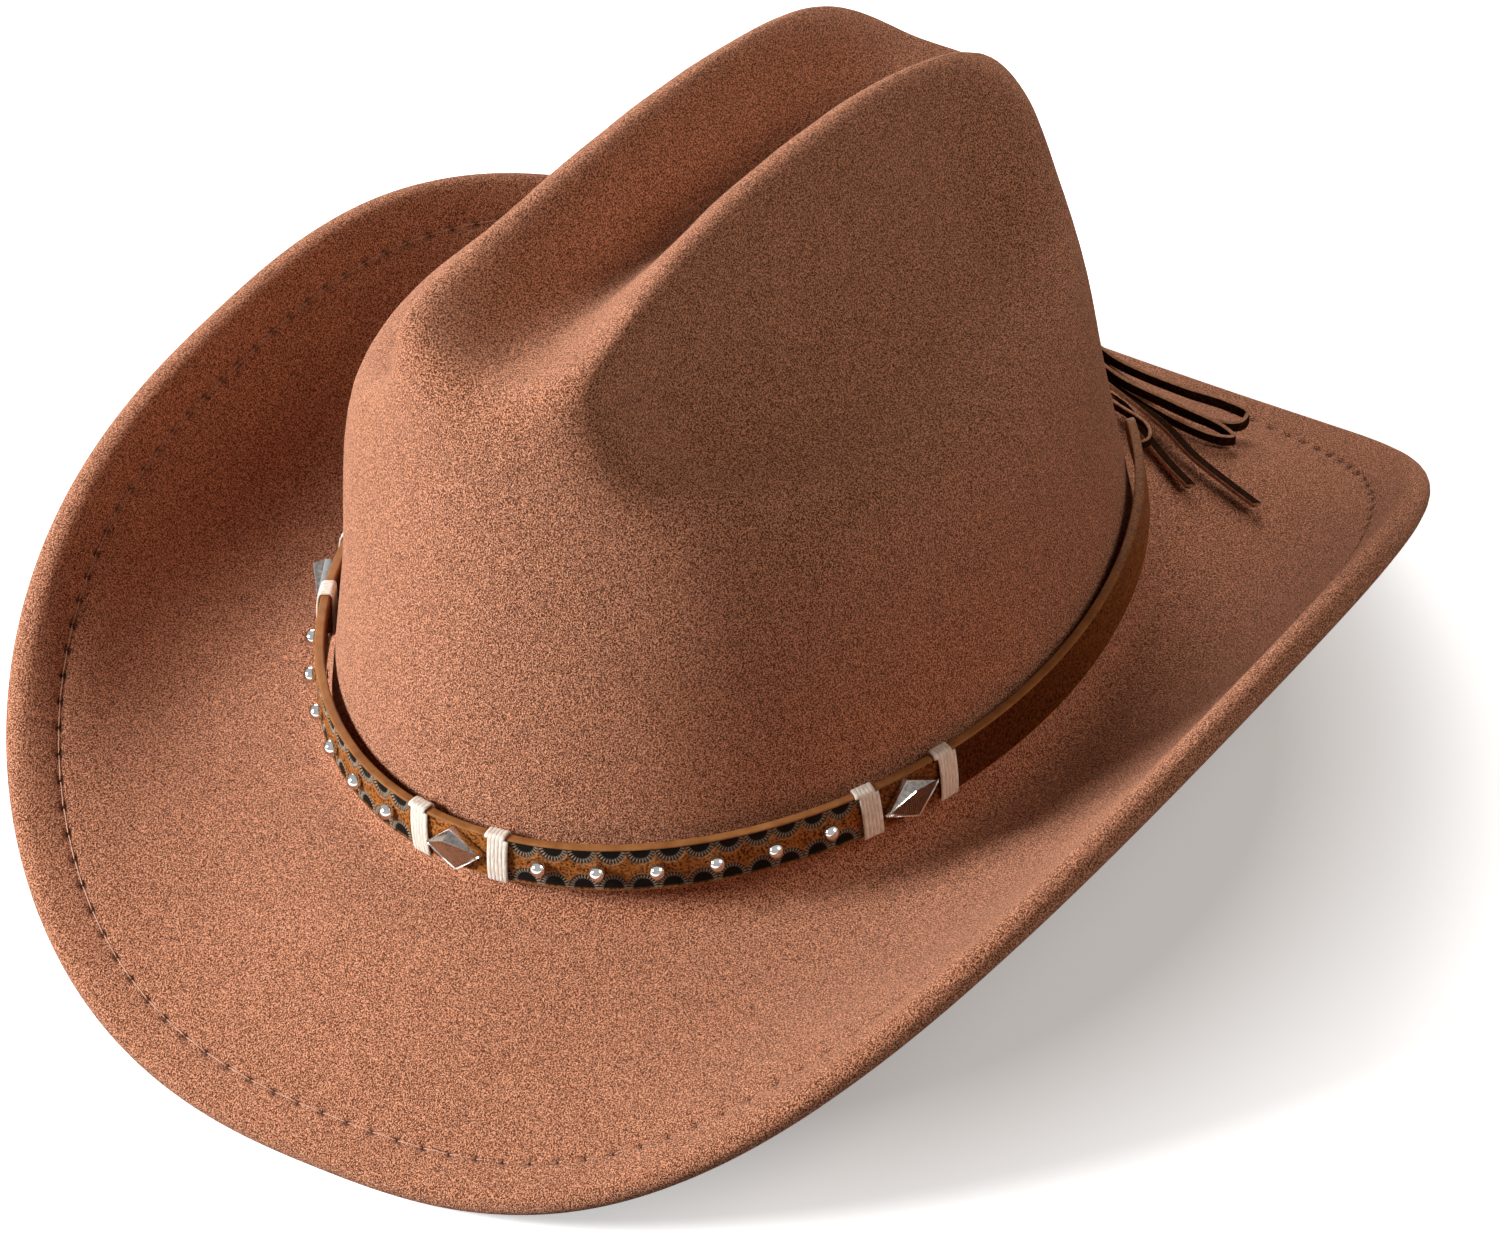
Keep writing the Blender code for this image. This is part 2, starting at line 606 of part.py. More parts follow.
def shank(radius):
    """Rings of a shank through the strap and its clinched end behind it."""
    behind = -(STRAP_THICKNESS + SEAT)
    tail = radius + CLINCH
    rings = [circle(radius, SEAT), circle(radius, behind), circle(tail, behind)]
    return rings + [circle(tail, behind - TAIL_THICKNESS)]


def stud_lengths():
    return [STUD_FIRST + STUD_PITCH * index for index in range(STUD_COUNT)]


def concho_lengths():
    return {"front": 0.0, "left": CONCHO_SPACING, "right": -CONCHO_SPACING}


def lace_hole_lengths():
    inset = STRAP_HALF_LENGTH - LACE_HOLE_INSET
    return {"left": inset, "right": -inset}


def strap_end_inset(distance):
    """How much narrower the strap is on each edge, this far from its rounded end."""
    short = max(0.0, STRAP_END_RADIUS - distance)
    return STRAP_END_RADIUS - math.sqrt(STRAP_END_RADIUS**2 - short**2)


def band_strap():
    end_steps = [STRAP_END_RADIUS * share for share in STRAP_END_SHARES]
    tip = STRAP_HALF_LENGTH
    middle = np.linspace(STRAP_END_RADIUS - tip, tip - STRAP_END_RADIUS, STRAP_STEPS + 1)
    lengths = [step - tip for step in end_steps[:-1]] + list(middle)
    lengths += [tip - step for step in end_steps[-2::-1]]
    rings = []
    for length in lengths:
        half = STRAP_WIDTH / 2 - strap_end_inset(tip - abs(length))
        corners = ((0, -half), (STRAP_THICKNESS, -half), (STRAP_THICKNESS, half), (0, half))
        rings.append([strap_point(angle_at(length), depth, height) for depth, height in corners])
    strap = add_loft("band_strap", rings, leather_material, band, rounded=False)
    holes = bmesh.new()
    reach = 2 * STRAP_THICKNESS
    drills = [(length * side, STUD_SHANK) for length in stud_lengths() for side in (-1, 1)]
    drills += [(length, CONCHO_POST) for length in concho_lengths().values()]
    drills += [(length, LACE_RADIUS) for length in lace_hole_lengths().values()]
    for length, radius in drills:
        rings = [on_strap(length, circle(radius + HOLE_PLAY, out, HOLE_SIDES)) for out in (reach, -reach)]
        skin_rings(holes, rings)
    cutter = add_mesh("strap_hole_cutter", holes, leather_material, band)
    cutter.hide_render = True
    cutter.display_type = "WIRE"
    drill = strap.modifiers.new("holes", "BOOLEAN")
    drill.object = cutter
    drill.solver = "EXACT"


def studs():
    dome = [circle(STUD_RADIUS * radius, SEAT + STUD_RISE * rise) for radius, rise in STUD_DOME]
    for side, sign in (("left", 1), ("right", -1)):
        for index, length in enumerate(stud_lengths(), 1):
            rings = [on_strap(length * sign, ring) for ring in dome + shank(STUD_SHANK)]
            add_loft(f"stud_{side}_{index}", rings, nickel_material, band)


def rhombus(scale, out, lift=0.0):
    """Eight points round a diamond outline: its tips and the middles of its edges."""
    tips = [(CONCHO_LENGTH / 2, 0), (0, CONCHO_HEIGHT / 2), (-CONCHO_LENGTH / 2, 0), (0, -CONCHO_HEIGHT / 2)]
    points = []
    for one, two in zip(tips, tips[1:] + tips[:1]):
        points += [one, ((one[0] + two[0]) / 2, (one[1] + two[1]) / 2)]
    return [(a * scale, u * scale + lift, out) for a, u in points]


def tilted(ring, degrees):
    """Points given along, up and out, turned about an axis that stands on the strap."""
    c, s = math.cos(math.radians(degrees)), math.sin(math.radians(degrees))
    return [(a * c - u * s, a * s + u * c, o) for a, u, o in ring]


def conchos():
    peak = rhombus(CONCHO_TIP, SEAT + CONCHO_RIM + CONCHO_RISE, CONCHO_PEAK)
    plate = [peak, rhombus(1, SEAT + CONCHO_RIM), rhombus(1, SEAT)]
    for place, length in concho_lengths().items():
        tilt = CONCHO_TILTS[place]
        rings = [on_strap(length, tilted(ring, tilt)) for ring in plate + shank(CONCHO_POST)]
        add_loft(f"concho_{place}", rings, nickel_material, band, rounded=False)


def winding_outline():
    """Depths and heights once round the strap, at the middle of a thread that lies on it."""
    stand_off = SEAT + WRAP_RADIUS
    corners = ((STRAP_THICKNESS, 1, 0), (0, 1, 90), (0, -1, 180), (STRAP_THICKNESS, -1, 270))
    points = []
    for depth, side, start in corners:
        for turn in (start, start + 45, start + 90):
            out = stand_off * math.cos(math.radians(turn))
            up = stand_off * math.sin(math.radians(turn))
            points.append((depth + out, side * STRAP_WIDTH / 2 + up))
    return points


def least_gap(route, turn, radius):
    """The least gap of a winding to itself, over all points that lie about a turn or more apart."""
    route = np.array(route)
    spans = [route[step:] - route[:-step] for step in range(turn - 1, len(route))]
    return min(np.linalg.norm(span, axis=1).min() for span in spans) - 2 * radius


def wraps():
    outline = winding_outline()
    count = len(outline) * WRAP_TURNS
    ends = {"left": (-1, 1), "front": (-1, 1), "right": (1, -1)}
    names = {"left": ("front", "back"), "front": ("right", "left"), "right": ("front", "back")}
    for place, length in concho_lengths().items():
        for name, sign in zip(names[place], ends[place]):
            start = length + sign * WRAP_OFFSET - WRAP_PITCH * WRAP_TURNS / 2
            route = []
            for index in range(count + 1):
                depth, height = outline[index % len(outline)]
                along = start + WRAP_PITCH * index / len(outline)
                route.append(strap_point(angle_at(along), depth, height))
            add_tube(f"wrap_{place}_{name}", route, WRAP_RADIUS, cord_material, band)
            gap = least_gap(route, len(outline), WRAP_RADIUS)
            print(f"wrap_{place}_{name}: least gap between turns {gap * 1000:.2f} mm")


# Lace

def knot_frame():
    """The middle of the knot and the directions to the wearer's left, out and up from it."""
    angle = math.pi - KNOT_TURN
    foot = wall_point(angle, KNOT_HEIGHT - KNOT_WIDTH / 2, SEAT + KNOT_WIDTH / 2)
    left = wall_point(angle - NEARBY, KNOT_HEIGHT) - wall_point(angle + NEARBY, KNOT_HEIGHT)
    left /= np.linalg.norm(left)
    up = np.array([0.0, 0.0, 1.0])
    return foot + up * KNOT_WIDTH / 2, left, np.cross(up, left), up


def knot_point(left, out, up):
    middle, to_left, outwards, upwards = knot_frame()
    return middle + to_left * left + outwards * out + upwards * up


def knot():
    middle, left, out, up = knot_frame()
    mesh = bmesh.new()
    bmesh.ops.create_cube(mesh, size=1.0)
    bmesh.ops.scale(mesh, vec=(KNOT_LENGTH, KNOT_WIDTH, KNOT_WIDTH), verts=mesh.verts)
    bmesh.ops.bevel(mesh, geom=mesh.edges, offset=KNOT_BEVEL, segments=2, profile=0.5, affect="EDGES")
    turn = Matrix((left, out, up)).transposed().to_4x4()
    mesh.transform(Matrix.Translation(middle) @ turn)
    add_mesh("lace_knot", mesh, lace_material, band)


def lace_line(points, first, last):
    """The middle line of a lace through points, leaving and arriving in the given directions."""
    points = [np.asarray(point) for point in points]
    chords = [np.linalg.norm(b - a) for a, b in zip(points, points[1:])]
    steps = [max(1, round(chord / LACE_STEP)) for chord in chords]
    return spline(points, first * chords[0], last * chords[-1], steps)


def ties():
    """The two laces that run from the holes in the strap ends along the crown to the knot."""
    left = knot_frame()[1]
    above = 2 * SEAT
    off_wall = TIE_GAP + LACE_RADIUS
    for side, length in lace_hole_lengths().items():
        sign = math.copysign(1, length)
        bend = []
        for turn in (0, math.pi / 4, math.pi / 2):
            bend.append((sign * TIE_BEND * (1 - math.cos(turn)), 0, above + TIE_BEND * math.sin(turn)))
        points = on_strap(length, bend)
        points += on_strap(length + sign * LACE_HOLE_INSET, [(0, 0, above + TIE_BEND)])
        landing = angle_at(length + sign * (LACE_HOLE_INSET + TIE_LANDING))
        knot_angle = sign * math.pi - KNOT_TURN
        for share in TIE_SHARES:
            angle = landing + (knot_angle - landing) * share
            height = BAND_HEIGHT + (KNOT_HEIGHT - BAND_HEIGHT) * share
            points.append(wall_point(angle, height, off_wall))
        at_knot = knot_point(sign * (KNOT_LENGTH / 2 + SEAT), off_wall - SEAT - KNOT_WIDTH / 2, 0)
        points.append(at_knot + sign * left * LACE_LEAD)
        in_hole = on_strap(length, [(0, 0, -STRAP_THICKNESS)])
        route = in_hole + lace_line(points, strap_frame(length)[3], -sign * left) + [at_knot]
        add_tube(f"lace_tie_{side}", route, LACE_RADIUS, lace_material, band, detail=2)


def loose_laces():
    """The two loops of the bow and its two loose ends, which fall on the brim."""
    left = knot_frame()[1]
    for name, places in LACE_ROUTES.items():
        points = [knot_point(KNOT_LENGTH / 2 + SEAT + along, out, up) for along, out, up in places]
        looped = name.startswith("lace_loop")
        away = points[-1] - points[-2]
        last = -left if looped else away / np.linalg.norm(away)
        line = [points[0] + left * LACE_LEAD] + points[1:]
        if looped:
            line[-1] = points[-1] + left * LACE_LEAD
        route = [points[0]] + lace_line(line, left, last) + points[-1:] * looped
        add_tube(name, route, LACE_RADIUS, lace_material, band, detail=2)


for old in list(bpy.data.objects):
    bpy.data.objects.remove(old)
felt_material = material("felt", FELT_COLOUR, 0.95)
steel_material = material("steel", STEEL_COLOUR, 0.35, 1.0)
brass_material = material("brass", BRASS_COLOUR, 0.4, 1.0)
thread_material = material("thread", THREAD_COLOUR, 0.8)
ribbon_material = material("ribbon", RIBBON_COLOUR, 0.8)
leather_material = material("leather", LEATHER_COLOUR, 0.55)
nickel_material = material("nickel", NICKEL_COLOUR, 0.3, 1.0)
cord_material = material("cord", CORD_COLOUR, 0.7)
lace_material = material("lace", LACE_COLOUR, 0.6)

band = bpy.data.objects.new("band", None)
band.location = (0.0, HEAD_SETBACK, BAND_HEIGHT)
bpy.context.scene.collection.objects.link(band)

felt_body()
brim_wire()
hem_thread()
sweatband()
band_strap()
studs()
conchos()
wraps()
knot()
ties()
loose_laces()
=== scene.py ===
"""Looks of the western felt hat: napped felt, tooled leather band, metal trim, lace, floor, light and camera.

Metres, +Z up, the front of the hat towards -Y and the wearer's left towards +X. The pieces repeat the
driving sizes of the CAD pieces that they stand for, so each lies where that piece lies.
"""

import math
import random

import bmesh
import bpy
import numpy as np
from mathutils import Matrix, Vector, noise


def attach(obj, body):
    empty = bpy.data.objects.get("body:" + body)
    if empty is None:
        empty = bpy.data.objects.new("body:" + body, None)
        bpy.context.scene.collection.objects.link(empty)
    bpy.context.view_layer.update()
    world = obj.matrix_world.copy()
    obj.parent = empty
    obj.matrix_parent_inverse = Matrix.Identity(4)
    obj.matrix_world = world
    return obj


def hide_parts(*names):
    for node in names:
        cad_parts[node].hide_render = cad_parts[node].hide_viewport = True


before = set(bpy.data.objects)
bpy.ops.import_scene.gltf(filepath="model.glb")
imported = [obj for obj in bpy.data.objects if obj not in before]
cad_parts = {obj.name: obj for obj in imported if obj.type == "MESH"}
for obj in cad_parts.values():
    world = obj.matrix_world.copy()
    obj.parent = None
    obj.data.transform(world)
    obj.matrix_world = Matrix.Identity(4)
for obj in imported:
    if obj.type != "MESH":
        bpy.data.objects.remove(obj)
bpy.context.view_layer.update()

# Head oval and felt
HEAD_WIDTH = 0.1650
HEAD_LENGTH = 0.2089
HEAD_SETBACK = 0.0090
FELT = 0.0024
WALL_LEAN_FRONT = 0.188
WALL_LEAN_SIDES = 0.160
WALL_LEAN_BACK = 0.043

# Brim
BRIM_WIDTH = 0.2863
BRIM_FRONT = 0.1736
BRIM_BACK = 0.1512
BRIM_POWER = 0.771
SIDE_LIFT = 0.0644
BRIM_LEVEL = 0.0325
BREAK_RUN = 0.0070
BREAK_RISE = 0.0065
BREAK_HANDLE = 0.6
SLOPE_IN_ENDS = math.radians(-20)
SLOPE_IN_SIDES = math.radians(4)
SLOPE_OUT_ENDS = math.radians(-27)
SLOPE_OUT_SIDES = math.radians(58)
FLAT_CUT = 0.0008

# Hem
HEM_FRONT = 0.0113
HEM_BACK = 0.0145
FLAP_PAST_STITCH = 0.0025
PLY_GAP = 0.0003
FOLD_LENGTH = 0.0070
CHANNEL_RADIUS = 0.0012
SEAT = 0.0003

# Crown
SHOULDER_WIDTH = 0.8533 * HEAD_WIDTH
SHOULDER_FRONT = 0.4275 * HEAD_LENGTH
SHOULDER_BACK = 0.4864 * HEAD_LENGTH
SHOULDER_HEIGHT = 0.1120
SHOULDER_SLOPE = 0.0099
SHOULDER_BOW = 0.0123
RIDGE_SPACING = 0.2303 * HEAD_WIDTH
RIDGE_FLARE = 0.49
RIDGE_SQUARENESS = 2.97
RIDGE_FRONT = 0.3983 * HEAD_LENGTH
RIDGE_BACK = 0.4730 * HEAD_LENGTH
CREST_HEIGHT = 0.1677
CREST_SLOPE = 0.0087
CREST_BOW = 0.0126
BACK_DROP = 0.0168
FRONT_DIP = 0.0090
CREASE_DEPTH = 0.0194
CREASE_FRONT = 0.3542 * HEAD_LENGTH
CREASE_BACK = 0.4069 * HEAD_LENGTH
CREASE_BACK_DROP = 0.0060
SIDE_DENT = 0.0074
DENT_FRONT = 24
DENT_BACK = 152
DENT_FRONT_FADE = 30
DENT_FADE = 35
LEDGE_DEPTH = 0.0030
LEDGE_PLACE = 0.72
LEDGE_WIDTH = 0.19
LEDGE_RISE = 0.20
LEDGE_RUN = 40
FRONT_BULGE = 0.0015
BACK_BULGE = 0.0045

# Sweatband
RIBBON_HEIGHT = 0.0320
RIBBON_THICKNESS = 0.0008
RIBBON_SEAM = 0.0040
RIBBON_HEADROOM = 0.0010

# Band
BAND_RISE = 0.00285
STRAP_WIDTH = 0.0115
STRAP_THICKNESS = 0.0022
STRAP_LEAN = 0.06
STRAP_SHORT = 0.0580
STRAP_END_RADIUS = 0.0040
CONCHO_LENGTH = 0.0150
CONCHO_HEIGHT = 0.0112
CONCHO_RIM = 0.0014
CONCHO_RISE = 0.0030
CONCHO_PEAK = 0.0040
CONCHO_TILTS = {"front": 5, "left": 11, "right": 5}
CONCHO_POST = 0.0012
STUD_PITCH = 0.0132
STUD_MARGIN = 0.0074
STUD_COUNT = 6
STUD_RADIUS = 0.0019
STUD_RISE = 0.0026
STUD_SHANK = 0.0006
CLINCH = 0.0005
TAIL_THICKNESS = 0.0003
WRAP_TURNS = 4
WRAP_PITCH = 0.00115
WRAP_RADIUS = 0.00034

# Lace
LACE_RADIUS = 0.0012
LACE_LEAD = 0.0024
LACE_HOLE_INSET = 0.0060
TIE_BEND = 0.0021
TIE_LANDING = 0.0120
TIE_GAP = 0.0008
TIE_SHARES = (0.0, 0.35, 0.7)
KNOT_TURN = math.radians(8)
KNOT_DROP = 0.0036
KNOT_LENGTH = 0.0100
KNOT_WIDTH = 0.0092
# Lines of the loose laces from the middle of the knot's left face, in millimetres: to the wearer's left,
# outwards and upwards
LACE_ROUTES = {
    "lace_loop_upper": [
        (0, 2.3, 2.8), (5.5, 3.2, 2.6), (12.6, 6.1, -2.5), (25.4, 13.9, -9.2), (31.6, 21.4, -15),
        (35.2, 24, -17.8), (37, 20, -17.4), (33.6, 16.4, -16.6), (23.8, 11.6, -13.2), (12.5, 6.6, -7.2),
        (5.7, 4.7, -0.7), (0, 2.3, 0),
    ],
    "lace_loop_lower": [
        (0, -0.5, 2.8), (6.5, 0.3, 2), (16.8, 2.9, -3.8), (26.8, 8.7, -9.6), (37.6, 13.8, -14.5),
        (41.4, 13.1, -15), (39.3, 10, -14), (27.1, 7, -12.2), (16, 4.1, -7.8), (6.5, 2.9, -4.1),
        (0, 2.3, -2.8),
    ],
    "lace_tail_long": [
        (0, -0.5, 0), (7.7, -0.9, -1), (16.7, 0, -4), (24.6, 1.2, -6.8), (32.2, 1.3, -9),
        (42, -0.8, -10.7), (56.8, -3.4, -11), (66.1, -5.6, -10),
    ],
    "lace_tail_short": [
        (0, -0.5, -2.8), (7.7, -0.8, -4.4), (17.8, 0.7, -8.2), (29.8, -3.2, -10), (39.7, -6.7, -10.4),
        (49.5, -9.8, -10.2),
    ],
}

# Sizes that follow from the ones above
EDGE_RADIUS = FELT + CHANNEL_RADIUS
WALL_FOOT = BRIM_LEVEL + BREAK_RISE
WALL_TOP = WALL_FOOT + RIBBON_HEIGHT + RIBBON_HEADROOM
BAND_HEIGHT = WALL_FOOT + BAND_RISE + STRAP_WIDTH / 2
KNOT_HEIGHT = BAND_HEIGHT - KNOT_DROP
STRAP_GAP = 2 * (SEAT + WRAP_RADIUS)
BRIM_WIDEST = (BRIM_FRONT - BRIM_BACK) / 2
WRAP_HALF_WIDTH = WRAP_PITCH * WRAP_TURNS / 2 + WRAP_RADIUS
WRAP_OFFSET = CONCHO_LENGTH / 2 + SEAT + WRAP_HALF_WIDTH
STUD_FIRST = WRAP_OFFSET + WRAP_HALF_WIDTH + STUD_MARGIN
CONCHO_SPACING = 2 * STUD_FIRST + STUD_PITCH * (STUD_COUNT - 1)

# Finer sizes of the looks
STITCHES = 144  # round the hem
STITCH_COLUMNS = 5  # columns of felt for each stitch
HAT_COLUMNS = STITCHES * STITCH_COLUMNS
STITCH_RADIUS = 0.00017
LACE_WIDTH = 0.0025
LACE_THICKNESS = 0.0010
LACE_STEP = 0.0008
TAIL_TURN = math.radians(72)  # how far an end of the bow turns over
NEARBY = 1e-4
MM = 0.001
UP = np.array([0.0, 0.0, 1.0])


# Plain geometry

def vector(xy, z):
    return np.array([xy[0], xy[1], z])


def unit(direction):
    return direction / np.linalg.norm(direction)


def oval(angle, half_width, front, back, centre_y, power_x=1.0, power_y=1.0):
    """A point of an oval outline, in plan."""
    s, c = math.sin(angle), math.cos(angle)
    x = half_width * math.copysign(abs(s) ** power_x, s)
    y = centre_y - (front if c > 0 else back) * math.copysign(abs(c) ** power_y, c)
    return np.array([x, y])


def outward(angle, half_width, half_length):
    """The direction straight out of an ellipse, in plan."""
    return unit(np.array([math.sin(angle) / half_width, -math.cos(angle) / half_length]))


def by_side(angle, ends, sides):
    """A value that is one thing at front and back and another at the sides."""
    return ends + (sides - ends) * (1 - math.cos(2 * angle)) / 2


def smooth(value):
    value = min(max(value, 0.0), 1.0)
    return value * value * (3 - 2 * value)


def bell(value, width):
    return np.exp(-((value / width) ** 2))


def bezier(start, handle_start, handle_end, end, count):
    """Points along a cubic curve, without its first point."""
    points = []
    for step in range(1, count + 1):
        t = step / count
        u = 1 - t
        points.append(u**3 * start + 3 * u * u * t * handle_start + 3 * u * t * t * handle_end + t**3 * end)
    return points


def spline(points, first_tangent, last_tangent, steps):
    """A smooth curve through points, with a count of steps for each stretch."""
    points = [np.asarray(point, float) for point in points]
    lengths = [math.sqrt(np.linalg.norm(b - a)) for a, b in zip(points, points[1:])]
    slopes = [(b - a) / length for a, b, length in zip(points, points[1:], lengths)]
    tangents = [np.asarray(first_tangent, float) / lengths[0]]
    for index in range(1, len(points) - 1):
        before, after = lengths[index - 1], lengths[index]
        tangents.append((slopes[index - 1] * after + slopes[index] * before) / (before + after))
    tangents.append(np.asarray(last_tangent, float) / lengths[-1])
    curve = [points[0]]
    for index, length in enumerate(lengths):
        handle_start = points[index] + tangents[index] * length / 3
        handle_end = points[index + 1] - tangents[index + 1] * length / 3
        curve += bezier(points[index], handle_start, handle_end, points[index + 1], steps[index])
    return curve


def run_lengths(points):
    """Lengths along a line of points, from its start."""
    steps = np.linalg.norm(np.diff(np.asarray(points), axis=0), axis=1)
    return np.concatenate([[0.0], np.cumsum(steps)])


def directions(points, closed=False):
    """The direction of a line at each of its points."""
    points = np.asarray(points)
    if closed:
        steps = np.roll(points, -1, axis=0) - np.roll(points, 1, axis=0)
    else:
        steps = np.gradient(points, axis=0)
    return steps / np.linalg.norm(steps, axis=1, keepdims=True)


def across(directions_along, towards):
    """Unit directions nearest to one that stand square to a line."""
    square = towards - directions_along * np.sum(directions_along * towards, axis=1, keepdims=True)
    return square / np.linalg.norm(square, axis=1, keepdims=True)


# Felt shape

def wall_point(angle, height, out=0.0):
    """A point of the crown wall, or this far outside it."""
    above = height - BAND_HEIGHT
    half_width = HEAD_WIDTH / 2 - WALL_LEAN_SIDES * above + out
    front = HEAD_LENGTH / 2 - WALL_LEAN_FRONT * above + out
    back = HEAD_LENGTH / 2 - WALL_LEAN_BACK * above + out
    return vector(oval(angle, half_width, front, back, HEAD_SETBACK), height)


def crest_height(c):
    return CREST_HEIGHT + CREST_SLOPE * c - CREST_BOW * c * c - BACK_DROP * max(0.0, -c) ** 6


def crease_height(c):
    return CREST_HEIGHT - CREASE_DEPTH + CREST_SLOPE * c - CREASE_BACK_DROP * max(0.0, -c) ** 2


def crown_profile(angle, steps):
    """The outside of the crown from the bottom of the crease, over a crest, to the top of the wall."""
    c = math.cos(angle)
    reach = CREASE_FRONT if c > 0 else CREASE_BACK
    crease = np.array([0.0, HEAD_SETBACK - reach * c, crease_height(c)])
    half_spacing = RIDGE_SPACING / 2 * (1 + RIDGE_FLARE * max(0.0, c) ** 2)
    crest_xy = oval(angle, half_spacing, RIDGE_FRONT, RIDGE_BACK, HEAD_SETBACK)
    crest_xy[0] = half_spacing * math.tanh(RIDGE_SQUARENESS * math.sin(angle)) / math.tanh(RIDGE_SQUARENESS)
    dip = FRONT_DIP * (1 - smooth(abs(crest_xy[0]) / half_spacing)) if c > 0 else 0.0
    crest = vector(crest_xy, crest_height(c) - dip)
    shoulder_xy = oval(angle, SHOULDER_WIDTH / 2, SHOULDER_FRONT, SHOULDER_BACK, HEAD_SETBACK)
    shoulder = vector(shoulder_xy, SHOULDER_HEIGHT + SHOULDER_SLOPE * c + SHOULDER_BOW * c * c)
    wall_top = wall_point(angle, WALL_TOP)
    run = crest - shoulder
    level = run * (1, 1, 0)
    level_length = np.linalg.norm(level)
    slope_normal = unit(np.array([0, 0, level_length]) - level / level_length * run[2])
    turn = math.degrees(math.acos(c))
    dent = smooth((turn - DENT_FRONT) / DENT_FRONT_FADE) * smooth((DENT_BACK - turn) / DENT_FADE)
    bulge = FRONT_BULGE if c > 0 else BACK_BULGE
    middle = (crest + shoulder) / 2 + slope_normal * (bulge * (1 - dent) - SIDE_DENT * dent)
    nearby = 0.01
    crease_slope = (crease_height(c) - crease_height(c - nearby)) / (-reach * nearby)
    first = (crest - crease) * (1, 1, 0)
    first[2] = crease_slope * first[1]
    last = wall_point(angle, WALL_TOP) - wall_point(angle, WALL_FOOT)
    last *= -np.linalg.norm(wall_top - shoulder) / np.linalg.norm(last)
    profile = spline([crease, crest, middle, shoulder, wall_top], first, last, steps)
    hollow_steps = steps[1] + steps[2]
    ledge = LEDGE_PLACE - LEDGE_RISE * (1 - smooth((turn - DENT_FRONT) / LEDGE_RUN))
    for step in range(1, hollow_steps):
        past = (step / hollow_steps - ledge) / LEDGE_WIDTH
        profile[steps[0] + step] -= slope_normal * LEDGE_DEPTH * dent * math.exp(-past * past)
    return profile


def brim_outline(angle):
    return oval(angle, BRIM_WIDTH / 2, BRIM_FRONT, BRIM_BACK, BRIM_WIDEST, BRIM_POWER, BRIM_POWER)


def edge_frame(angle):
    """The middle of the rolled edge, and the directions out along the brim and up through it."""
    outline, ahead = brim_outline(angle), brim_outline(angle + NEARBY)
    along = unit(ahead - outline)
    out = np.array([along[1], -along[0], 0.0])
    slope = by_side(angle, SLOPE_OUT_ENDS, SLOPE_OUT_SIDES)
    height = EDGE_RADIUS - FLAT_CUT + by_side(angle, 0.0, SIDE_LIFT)
    centre = vector(outline, height) - out * EDGE_RADIUS
    return centre, out * math.cos(slope) + UP * math.sin(slope), UP * math.cos(slope) - out * math.sin(slope)


def hem_point(angle, out, up):
    centre, along, normal = edge_frame(angle)
    return centre + along * out + normal * up


def stitch_place(angle):
    """Where the stitch row lies, out from the middle of the rolled edge; the hem widens towards the back."""
    share = (1 - math.cos(angle)) / 2
    return EDGE_RADIUS - HEM_FRONT - (HEM_BACK - HEM_FRONT) * share * share


def brim_profile(angle, break_steps, brim_steps):
    """The top of the brim from the foot of the crown wall to the inner end of the hem, without the foot."""
    foot = wall_point(angle, WALL_FOOT)
    down = unit(foot - wall_point(angle, WALL_TOP))
    out = vector(outward(angle, HEAD_WIDTH / 2, HEAD_LENGTH / 2), 0.0)
    slope = by_side(angle, SLOPE_IN_ENDS, SLOPE_IN_SIDES)
    leave = out * math.cos(slope) + UP * math.sin(slope)
    start = foot + out * BREAK_RUN
    start[2] = BRIM_LEVEL
    hem_end = hem_point(angle, stitch_place(angle) - FLAP_PAST_STITCH, EDGE_RADIUS)
    arrive = edge_frame(angle)[1]
    reach = np.linalg.norm(hem_end - start) / 3
    handles = foot + down * BREAK_RISE * BREAK_HANDLE, start - leave * BREAK_RUN * BREAK_HANDLE
    curve = bezier(foot, *handles, start, break_steps)
    return curve + bezier(start, start + leave * reach, hem_end - arrive * reach, hem_end, brim_steps)


# Strap shape

def strap_point(angle, depth, height):
    """A point of the strap: depth grows outwards from its inner face, height upwards from its middle."""
    out = STRAP_GAP + depth + WALL_LEAN_FRONT * STRAP_WIDTH / 2 - STRAP_LEAN * (height + STRAP_WIDTH / 2)
    half_width, half_length = HEAD_WIDTH / 2 + out, HEAD_LENGTH / 2 + out
    return vector(oval(angle, half_width, half_length, half_length, HEAD_SETBACK), BAND_HEIGHT + height)


HALF_TURN = np.linspace(0, math.pi, 1001)
HALF_TURN_LENGTHS = run_lengths([strap_point(angle, STRAP_THICKNESS, 0) for angle in HALF_TURN])
STRAP_HALF_LENGTH = HALF_TURN_LENGTHS[-1] - STRAP_SHORT
LACE_HOLE = STRAP_HALF_LENGTH - LACE_HOLE_INSET
SIDES = {"left": 1, "right": -1}


def angle_at(length):
    """The angle at a length along the strap; lengths to the wearer's right are negative."""
    return math.copysign(np.interp(abs(length), HALF_TURN_LENGTHS, HALF_TURN), length)


def strap_frame(length):
    """A place in the middle of the strap's outer face, with the directions along it, up it and out of it."""
    angle = angle_at(length)
    along = strap_point(angle + NEARBY, STRAP_THICKNESS, 0) - strap_point(angle - NEARBY, STRAP_THICKNESS, 0)
    up = strap_point(angle, STRAP_THICKNESS, NEARBY) - strap_point(angle, STRAP_THICKNESS, -NEARBY)
    along, up = unit(along), unit(up)
    return strap_point(angle, STRAP_THICKNESS, 0), along, up, np.cross(along, up)


